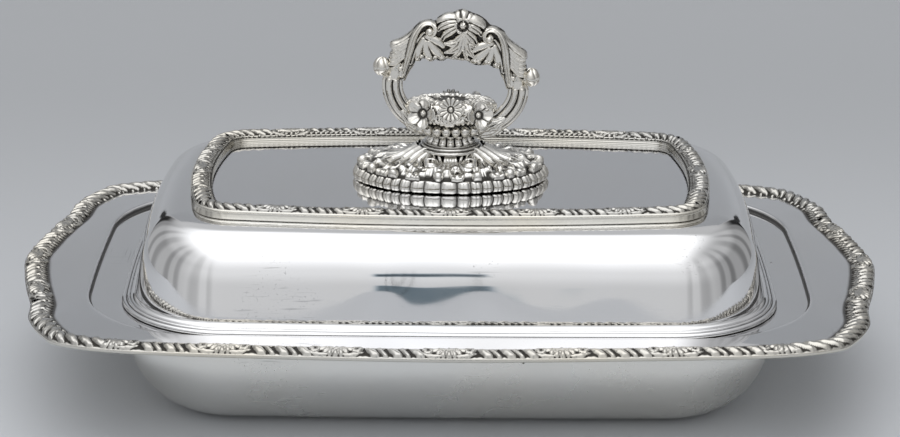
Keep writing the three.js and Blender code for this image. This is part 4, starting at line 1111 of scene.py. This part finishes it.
# %% [markdown]
# Two reeded arms grow out of the basket, with an acanthus leaf on each face, and run up inside the ends
# of the crest. A leafy knuckle stands out on each side of the joint. A curve with a round bevel would
# make a plain arm. Rings carried along an oval can take the reeds and the leaves as well.

# %% Arms and knuckles
ARM_OUT, ARM_UP, ARM_RADIUS = 26.3, 19.5, 3.9


def arm_grid(side):
    """Rings round an arm, which follows an oval from under the basket's rim to the crest."""
    angle = np.linspace(radians(-66), radians(10), 160)
    centre = np.stack([side * ARM_OUT * np.cos(angle), 0 * angle, LOOP + ARM_UP * np.sin(angle)], -1)
    run = np.gradient(centre, axis=0)
    run /= np.linalg.norm(run, axis=1)[:, None]
    across = np.cross(run, (0, 1, 0))
    turn = np.linspace(0, 2 * pi, 140, endpoint=False)
    girth = np.interp(np.degrees(angle), [-66, 2, 8, 10], [1, 1, 0.85, 0.05])[:, None]
    grid = centre[:, None] + (4.1 * girth * np.cos(turn))[..., None] * across[:, None]
    grid[..., 1] += 3.7 * girth * np.sin(turn)
    return grid, turn


for side, label in ((-1, "left"), (1, "right")):
    grid, turn = arm_grid(side)
    reeds = 1.5 * np.abs(np.cos(3.5 * (turn - pi / 2)))[None] ** 0.75 * np.ones((len(grid), 1)) - 1.1
    reeds *= np.linspace(1, 0, len(grid))[:, None] ** 0.05
    along = np.linspace(0, 33, len(grid))[:, None] + 0 * turn
    arm = Relief(along, np.broadcast_to(turn * ARM_RADIUS, along.shape), reeds)
    for y in (pi / 2 * ARM_RADIUS, 1.5 * pi * ARM_RADIUS):
        leaf, tops = [(2, y), (7, y + 0.6), (13, y)], [0.9, 1.6, 1.0]
        arm.stroke(leaf, [3.0, 3.4, 1.0], [0.9, 1.8, 1.2], ribs=4, lobes=3, depth=0.7)
        for leaf in ([(1, y - 3), (5, y - 3.4), (9, y - 2.6)], [(1, y + 3), (4, y + 3.6), (8, y + 3.2)]):
            arm.stroke(leaf, [2.0, 2.2, 1.0], tops, ribs=3, depth=0.6)
    height = arm.field
    height[-12:] *= 0.3
    # The grooves of the reeds and the ground under the leaves are darkened: painted shade, with some tarnish.
    arm_depth = tarnish_and_shade_sum(hollows(height, 1.8, 12), tarnish_and_shade_sum(-(height + 0.15) / 0.6))
    arm_skin = skin(leaned(raised(grid, height)), closed=True, depth=arm_depth)
    cast(f"arm_{label}_reeded", [arm_skin], f"loop_arm_{label}")
    ball_line = [(sin(a), -cos(a)) for a in arc(44, 0.02, pi - 0.02)]
    ball, turn = oval_grid(ball_line, 3.7, 4.3, 120)
    twist = 2.5 * turn[None] + 1.9 * np.linspace(0, 1, 44)[:, None]
    swirl = 0.55 * np.abs(np.cos(twist)) ** 0.45 - 0.3
    ball = raised(ball * (1, 1, 3.8), swirl) + (side * 31.0, 0, LOOP + 6.2)
    ball_skin = skin(leaned(ball), closed=True, depth=hollows(swirl, 2.4, 8))
    cast(f"knuckle_{label}_leafy", [ball_skin], f"loop_knuckle_{label}")
    print(label, "arm and knuckle done")

# %% [markdown]
# The crest is the showpiece. Two scrolls curl in from the knuckles with broad leaves outside and
# acanthus inside them, shells spread from the middle, and a flower of small beads crowns it. It could
# be sculpted, or cut out of a plate. A relief between an outer and an inner edge was chosen, because it
# keeps the pierced outline and takes the same strokes on both faces.

# %% Crest outline
# Across and up from the middle of the loop, left to right.
OUTER_EDGE = [
    (-28.4, 2.0), (-28.8, 6.6), (-28.6, 10.0), (-28.2, 12.6), (-27.4, 13.6), (-28.5, 15.2), (-28.1, 17.2),
    (-25.0, 18.7), (-22.0, 20.8), (-19.4, 23.4), (-17.2, 25.9), (-15.1, 27.2), (-12.6, 27.7),
    (-10.5, 27.3), (-9.5, 28.9), (-7.3, 30.6), (-5.0, 31.4), (-3.1, 31.5), (-1.8, 32.4), (0.5, 33.1),
    (3.0, 32.5), (5.2, 31.7), (7.7, 31.0), (10.5, 29.3), (12.5, 27.4), (15.2, 26.8), (18.2, 25.2),
    (21.2, 21.8), (24.6, 19.6), (28.0, 17.4), (29.0, 15.2), (28.4, 13.2), (28.9, 10.6), (28.7, 6.9),
    (28.2, 1.6),
]
INNER_EDGE = [
    (-20.9, 1.0), (-19.4, 4.8), (-17.9, 7.4), (-17.2, 9.5), (-15.5, 9.7), (-14.2, 10.9), (-12.3, 10.2),
    (-10.7, 9.7), (-9.1, 10.8), (-7.7, 10.4), (-5.8, 10.5), (-4.1, 11.6), (-1.7, 11.4), (1.0, 11.3),
    (3.8, 11.2), (5.6, 10.3), (7.7, 9.7), (10.0, 9.8), (12.7, 10.3), (15.1, 9.2), (17.4, 8.7), (18.2, 6.5),
    (19.6, 4.4), (21.0, 0.8),
]
print("crest edges:", len(OUTER_EDGE), "and", len(INNER_EDGE), "points")

# %% [markdown]
# The strokes are laid as a carver would lay them: folds and leaves first, the big scroll over them, and
# the leaves of the middle last. The left half mirrors the right one, and sits a little higher, as the
# photographed casting does.

# %% Crest strokes
# Path, half widths, tops and ribs of each stroke on the right half; the left mirrors them.
SCROLL_HALF = [
    ([(16.6, 24.8), (20.6, 22.5), (23.7, 19.9), (27.8, 16.3)], [1.4, 1.9, 2.2, 1.3], [4.4, 4.6, 4.6, 3.8], 0),
    ([(24.6, 7.4), (25.4, 5.0), (25.6, 2.6)], [1.8, 2.6, 2.3], [3.4, 3.7, 3.6], 0),
    ([(21.3, 9.5), (21.9, 7.1), (22.8, 3.6)], [0.8, 1.5, 1.4], [3.6, 4.0, 3.9], 0),
]
FOLDS = [(19.0, 0.6, 20.6, 2.1), (21.8, 0.5, 17.8, 1.9), (24.8, 0.2, 15.6, 1.8), (28.0, -0.1, 14.5, 1.7)]
for k in range(5):
    fold = [(x + step_x * k, z - step_z * k) for x, step_x, z, step_z in FOLDS]
    SCROLL_HALF.append((fold, [0.6, 0.95, 1.1, 0.7], [4.2, 4.3 - 0.1 * k, 4.2 - 0.1 * k, 3.6], 0))
LONG_LEAF = [(14.5, 21.7), (16.2, 19.2), (17.8, 16.1), (18.9, 12.7), (19.4, 8.6)]
SCROLL_HALF += [
    (LONG_LEAF, [1.0, 1.6, 1.7, 1.5, 0.8], [3.9, 4.1, 4.0, 3.8, 3.3], 2),
    ([(14.8, 19.3), (16.2, 15.3), (16.6, 12.3), (16.8, 9.9)], [1.3, 1.7, 1.6, 1.0], [4.3, 4.2, 3.9, 3.3], 1),
    ([(13.8, 18.4), (13.2, 14.6), (11.6, 10.8)], [1.2, 1.9, 1.5], [4.4, 4.4, 3.9], 1),
    ([(12.5, 18.4), (9.8, 15.4), (7.8, 13.4), (6.4, 12.2)], [1.2, 1.9, 2.1, 1.3], [4.6, 4.6, 4.5, 4.0], 1),
    ([(13.5, 20.8), (10.2, 19.6), (8.2, 18.6), (6.6, 17.2)], [1.0, 1.6, 1.9, 1.2], [4.7, 4.9, 4.9, 4.3], 1),
    ([(2.6, 29.9), (5.4, 30.0), (8.5, 28.5), (10.2, 26.8)], [1.2, 1.9, 1.7, 0.9], [4.6, 4.8, 4.5, 3.7], 1),
    ([(2.4, 27.5), (5.1, 26.7), (7.8, 25.1), (8.9, 23.7)], [1.2, 1.8, 1.6, 0.8], [4.6, 4.8, 4.4, 3.6], 2),
    ([(1.8, 25.1), (4.4, 23.2), (6.4, 21.3), (7.0, 19.7)], [1.2, 1.8, 1.6, 0.8], [4.6, 4.7, 4.3, 3.6], 2),
]
VOLUTE = [(22.0, 4.1), (20.9, 9.6), (20.0, 14.0), (19.1, 19.0), (18.0, 22.3), (16.2, 25.1), (13.8, 26.4)]
VOLUTE += [(11.4, 26.0), (10.2, 24.1), (10.6, 22.1), (12.2, 21.2), (13.4, 22.1), (13.4, 23.5), (12.5, 24.0)]
VOLUTE_HALVES = [0.8, 0.9, 1.1, 1.2, 1.3, 1.3, 1.2, 1.1, 1.0, 0.9, 0.8, 0.7, 0.6, 0.5]
VOLUTE_TOPS = [4.3, 4.7, 5.0, 5.2, 5.3, 5.4, 5.4, 5.3, 5.2, 5.1, 5.0, 5.0, 5.0, 5.1]
SCROLL_HALF.append((VOLUTE, VOLUTE_HALVES, VOLUTE_TOPS, 2))
# The same for the leaves that spread from the middle.
CENTRE = [
    ([(1.2, 23.2), (-0.4, 20.6), (-3.2, 19.0), (-6.2, 18.6)], [1.2, 1.8, 1.6, 0.6], [4.6, 5.0, 4.7, 3.8], 3),
    ([(1.4, 22.8), (0.0, 18.6), (-2.6, 16.0), (-5.4, 14.8)], [1.2, 2.0, 1.7, 0.6], [4.7, 5.1, 4.8, 3.8], 3),
    ([(1.6, 22.5), (0.9, 17.4), (-0.6, 14.6), (-2.6, 12.6)], [1.0, 1.8, 1.4, 0.7], [4.7, 5.2, 4.7, 3.8], 2),
    ([(2.0, 22.6), (3.8, 20.2), (6.0, 18.8), (8.0, 18.6)], [1.2, 1.7, 1.5, 0.6], [4.6, 5.0, 4.7, 3.8], 3),
    ([(2.2, 22.2), (3.8, 17.4), (5.4, 15.0), (7.0, 13.6)], [1.2, 1.9, 1.6, 0.6], [4.7, 5.1, 4.7, 3.8], 3),
    ([(2.0, 22.0), (2.6, 16.6), (3.4, 13.8), (4.0, 12.2)], [0.9, 1.5, 1.2, 0.7], [4.8, 5.2, 4.6, 3.8], 2),
]
BERRIES = [(-15.0, 12.4), (-9.4, 12.2), (-6.6, 12.0), (8.8, 11.6), (11.8, 12.2), (15.8, 11.0)]
BERRIES += [(-23.4, 6.6), (23.6, 6.0)]
print("strokes:", len(SCROLL_HALF), "on each side and", len(CENTRE), "in the middle")

# %% [markdown]
# Now the relief is filled in between the two edges, rounded off at both, and stood up as a front and a
# back face. Two caps close the ends.

# %% Crest
stations = 400
outer_edge, inner_edge = through(OUTER_EDGE, stations), through(INNER_EDGE, stations)
share = np.linspace(0, 1, 120)[:, None]
crest_x, crest_z = (inner_edge[None, :, k] * (1 - share) + outer_edge[None, :, k] * share for k in (0, 1))
crest = Relief(crest_x, crest_z, 2.0)
for x, drop in ((1, 0.5), (-1, -0.4)):
    for path, halves, tops, ribs in SCROLL_HALF:
        path, wide = [(x * a, b - drop) for a, b in path], [1.22 * half for half in halves]
        crest.stroke(path, wide, tops, ribs=ribs, groove=0.2, depth=0.6, fall=3.2)
for path, halves, tops, ribs in CENTRE:
    crest.stroke(path, [1.3 * half for half in halves], tops, ribs=ribs, lobes=2, depth=0.6, fall=2.6)
for x, z in ((-12.3, 23.3), (12.3, 21.9)):
    crest.knob(x, z, 1.5, 5.9)
for x, z, size in ((-1.8, 31.2, 1.6), (1.4, 31.8, 1.8), (3.8, 30.6, 1.5)):
    crest.stroke([(0.9 + (x - 0.9) * 0.5, 28.5), (x, z)], [1.2, size], [4.9, 4.5], ribs=1, depth=0.5)
for k in range(8):
    crest.knob(-4.4 + 1.25 * k, 12.2 + 0.4 * cos(2 * k), 0.75, 4.4)
for x, z in BERRIES:
    crest.knob(x, z, 1.0, 4.3)
edge_round = np.clip(1 - np.abs(2 * share - 1) ** 7, 0, 1) ** 0.5
crest_height = crest.field * edge_round
front = np.stack([crest_x, -crest_height, crest_z + LOOP], -1)
# The low ground of the crest is darkened as well as its hollows: painted shade, with some tarnish.
ground = 0.8 * tarnish_and_shade_sum((2.3 - crest.field) / 0.9)
depth = tarnish_and_shade_sum(hollows(crest.field, 3.4, 30, closed=False), ground)
faces = [skin(leaned(side), depth=depth) for side in (front, front * (1, -1, 1))]
for k in (0, -1):
    end = np.stack([front[:, k], front[:, k] * (1, -1, 1)])
    faces.append(skin(leaned(end), depth=0.3))
cast("crest_relief", faces, "loop_crest")
crown_flower = flower(3.6, 6, 1.5, 1.7)
for side, facing in (("front", 0), ("back", pi)):
    place = np.array([1.0 * cos(facing), -4.7 * cos(facing), LOOP + 27.0])
    name, node = (f"crest_{kind}_{side}" for kind in ("flower", "rosette"))
    set_flower(name, crown_flower, place, facing, 0.1, node, leans=True)
print("crest:", crest_x.shape, "points a face")

# %% [markdown]
# The dish stands on a roll of pale paper, which bends up behind it under a soft lamp. A plain plane
# would do for the table, but it would show a horizon behind the dish.

# %% Paper and table
PAPER = np.array([0.64, 0.655, 0.678])
paper_stock = bpy.data.materials.new("paper")
paper_stock.use_nodes = True
net = Net(paper_stock.node_tree)
place = net.node("TexCoord").outputs["Object"]
back = net.node("SeparateXYZ", {0: place}).outputs["Y"]
# Painted shade: the paper darkens towards the back as light falls off and again in front of the dish, and is
# a little less dark up the wall.
far = net.math("SUBTRACT", net.ramp(back, -0.3, 0.5, 0.0, 0.8), net.ramp(back, 1.7, 2.6, 0.0, 0.2))
far = net.math("ADD", far, net.ramp(back, -0.5, -1.2, 0.0, 0.3))
shade = net.add(net.noise(place, 3.0, 3.0), 0.06, far)
shader = net.tree.nodes["Principled BSDF"]
net.plug(shader.inputs["Base Color"], net.mix(shade, (*PAPER, 1), (*(0.52 * PAPER), 1)))
net.plug(shader.inputs["Roughness"], 0.7)

PAPER_HALF, TABLE_FRONT, TABLE_BACK, PAPER_BEND, PAPER_TOP = 1150.0, -2600.0, 1500.0, 1300, 1900.0
profile = [(TABLE_FRONT, 0.0), (TABLE_BACK, 0.0)]
profile += [(TABLE_BACK + PAPER_BEND * sin(a), PAPER_BEND * (1 - cos(a))) for a in arc(12, 0.1, pi / 2)]
profile += [(TABLE_BACK + PAPER_BEND, PAPER_TOP)]
points, quads, _ = skin(np.array([[(x, y, z) for x in (-PAPER_HALF, PAPER_HALF)] for y, z in profile]))
mesh = bpy.data.meshes.new("paper")
mesh.from_pydata((points * MM).tolist(), [], quads[:, ::-1].tolist())
mesh.shade_smooth()
mesh.materials.append(paper_stock)
linked("paper", mesh)

lamp = bpy.data.lights.new("backdrop_lamp", "AREA")
lamp.shape = "RECTANGLE"
lamp.size, lamp.size_y = 2.4, 0.5
lamp.energy = 4
backdrop_lamp = linked("backdrop_lamp", lamp)
backdrop_lamp.location = (0, 1.3, 2.6)
backdrop_lamp.rotation_euler = (radians(60), 0, 0)
print("paper:", len(points), "points")

# %% [markdown]
# The metal shows the room. White cloth hangs all round in folds, brightest overhead, a little to the
# left. In front it leaves a dark spot for the lens, and a dark brink where it meets the table, and the
# paper's two edges show as dark arcs in the lid's corners. Real cards and cloths could stand round the
# dish. A world of nodes shows in the mirrors just as well, renders faster and stays out of the way of
# the part. In it, x, y and z are the parts of a direction, so that z is the sine of its height.

# %% Room
world = bpy.data.worlds.new("room")
bpy.context.scene.world = world
world.use_nodes = True
net = Net(world.node_tree)
x, y, z = net.node("SeparateXYZ", {0: net.node("TexCoord").outputs["Generated"]}).outputs
sideways = net.math("ABSOLUTE", x)
front = net.ramp(y, -0.1, -0.95)
cloth = net.add(front, 0.26, 0.42)
cloth = net.add(net.times(front, net.ramp(z, 0.05, 0.4)), 0.2, cloth)
cloth = net.add(x, -0.06, cloth)
cloth = net.add(net.ramp(z, 0.4, 0.6), 0.17, cloth)
turn = net.math("ARCTAN2", sideways, y)
sway = net.math("SINE", net.add(turn, 7.0, z))
fold = net.ramp(net.math("SINE", net.add(turn, 17.0, sway)), -0.6, 1.0)
hung = net.times(fold, net.ramp(sideways, 0.3, 0.5), net.ramp(z, 0.85, 0.6), 0.17)
cloth = net.math("SUBTRACT", cloth, hung)
lean = net.math("DIVIDE", x, net.math("MAXIMUM", z, 0.05))
overhead = net.times(net.ramp(lean, -1.4, -0.35), net.ramp(lean, 0.85, 0.1), net.ramp(z, 0.5, 1.1))
glow = net.times(overhead, net.ramp(net.add(x, 0.2, y), 0.66, 0.52))
level = net.add(glow, 1.35, cloth)
behind = net.math("DIVIDE", sideways, net.math("MAXIMUM", y, 0.02))
paper_edge = net.times(net.ramp(behind, 0.37, 0.4), net.ramp(behind, 0.56, 0.48), net.ramp(z, 0.5, 0.3))
ahead = net.ramp(y, -0.4, -0.6)
off_lens = net.math("ABSOLUTE", net.math("ADD", x, 0.015))
lens = net.times(net.ramp(z, 0.39, 0.34), net.ramp(z, 0.28, 0.31), net.ramp(off_lens, 0.07, 0.03), ahead)
brink = net.times(net.ramp(z, 0.09, 0.06), net.ramp(sideways, 0.075, 0.03), ahead)
for dark, share in ((paper_edge, 0.93), (lens, 0.85), (brink, 0.7)):
    level = net.times(level, net.add(dark, -share, 1.0))
sky = net.tree.nodes["Background"]
bluish = net.math("MAXIMUM", lens, brink)
net.plug(sky.inputs["Color"], net.mix(bluish, (0.975, 0.985, 1.0, 1), (0.7, 0.9, 1.05, 1)))
net.plug(sky.inputs["Strength"], level)
bpy.context.scene.view_settings.view_transform = "Standard"
print("room:", len(net.tree.nodes), "nodes")

# %% Finish
print("CAD nodes still shown:", [name for name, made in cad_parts.items() if not made.hide_render])
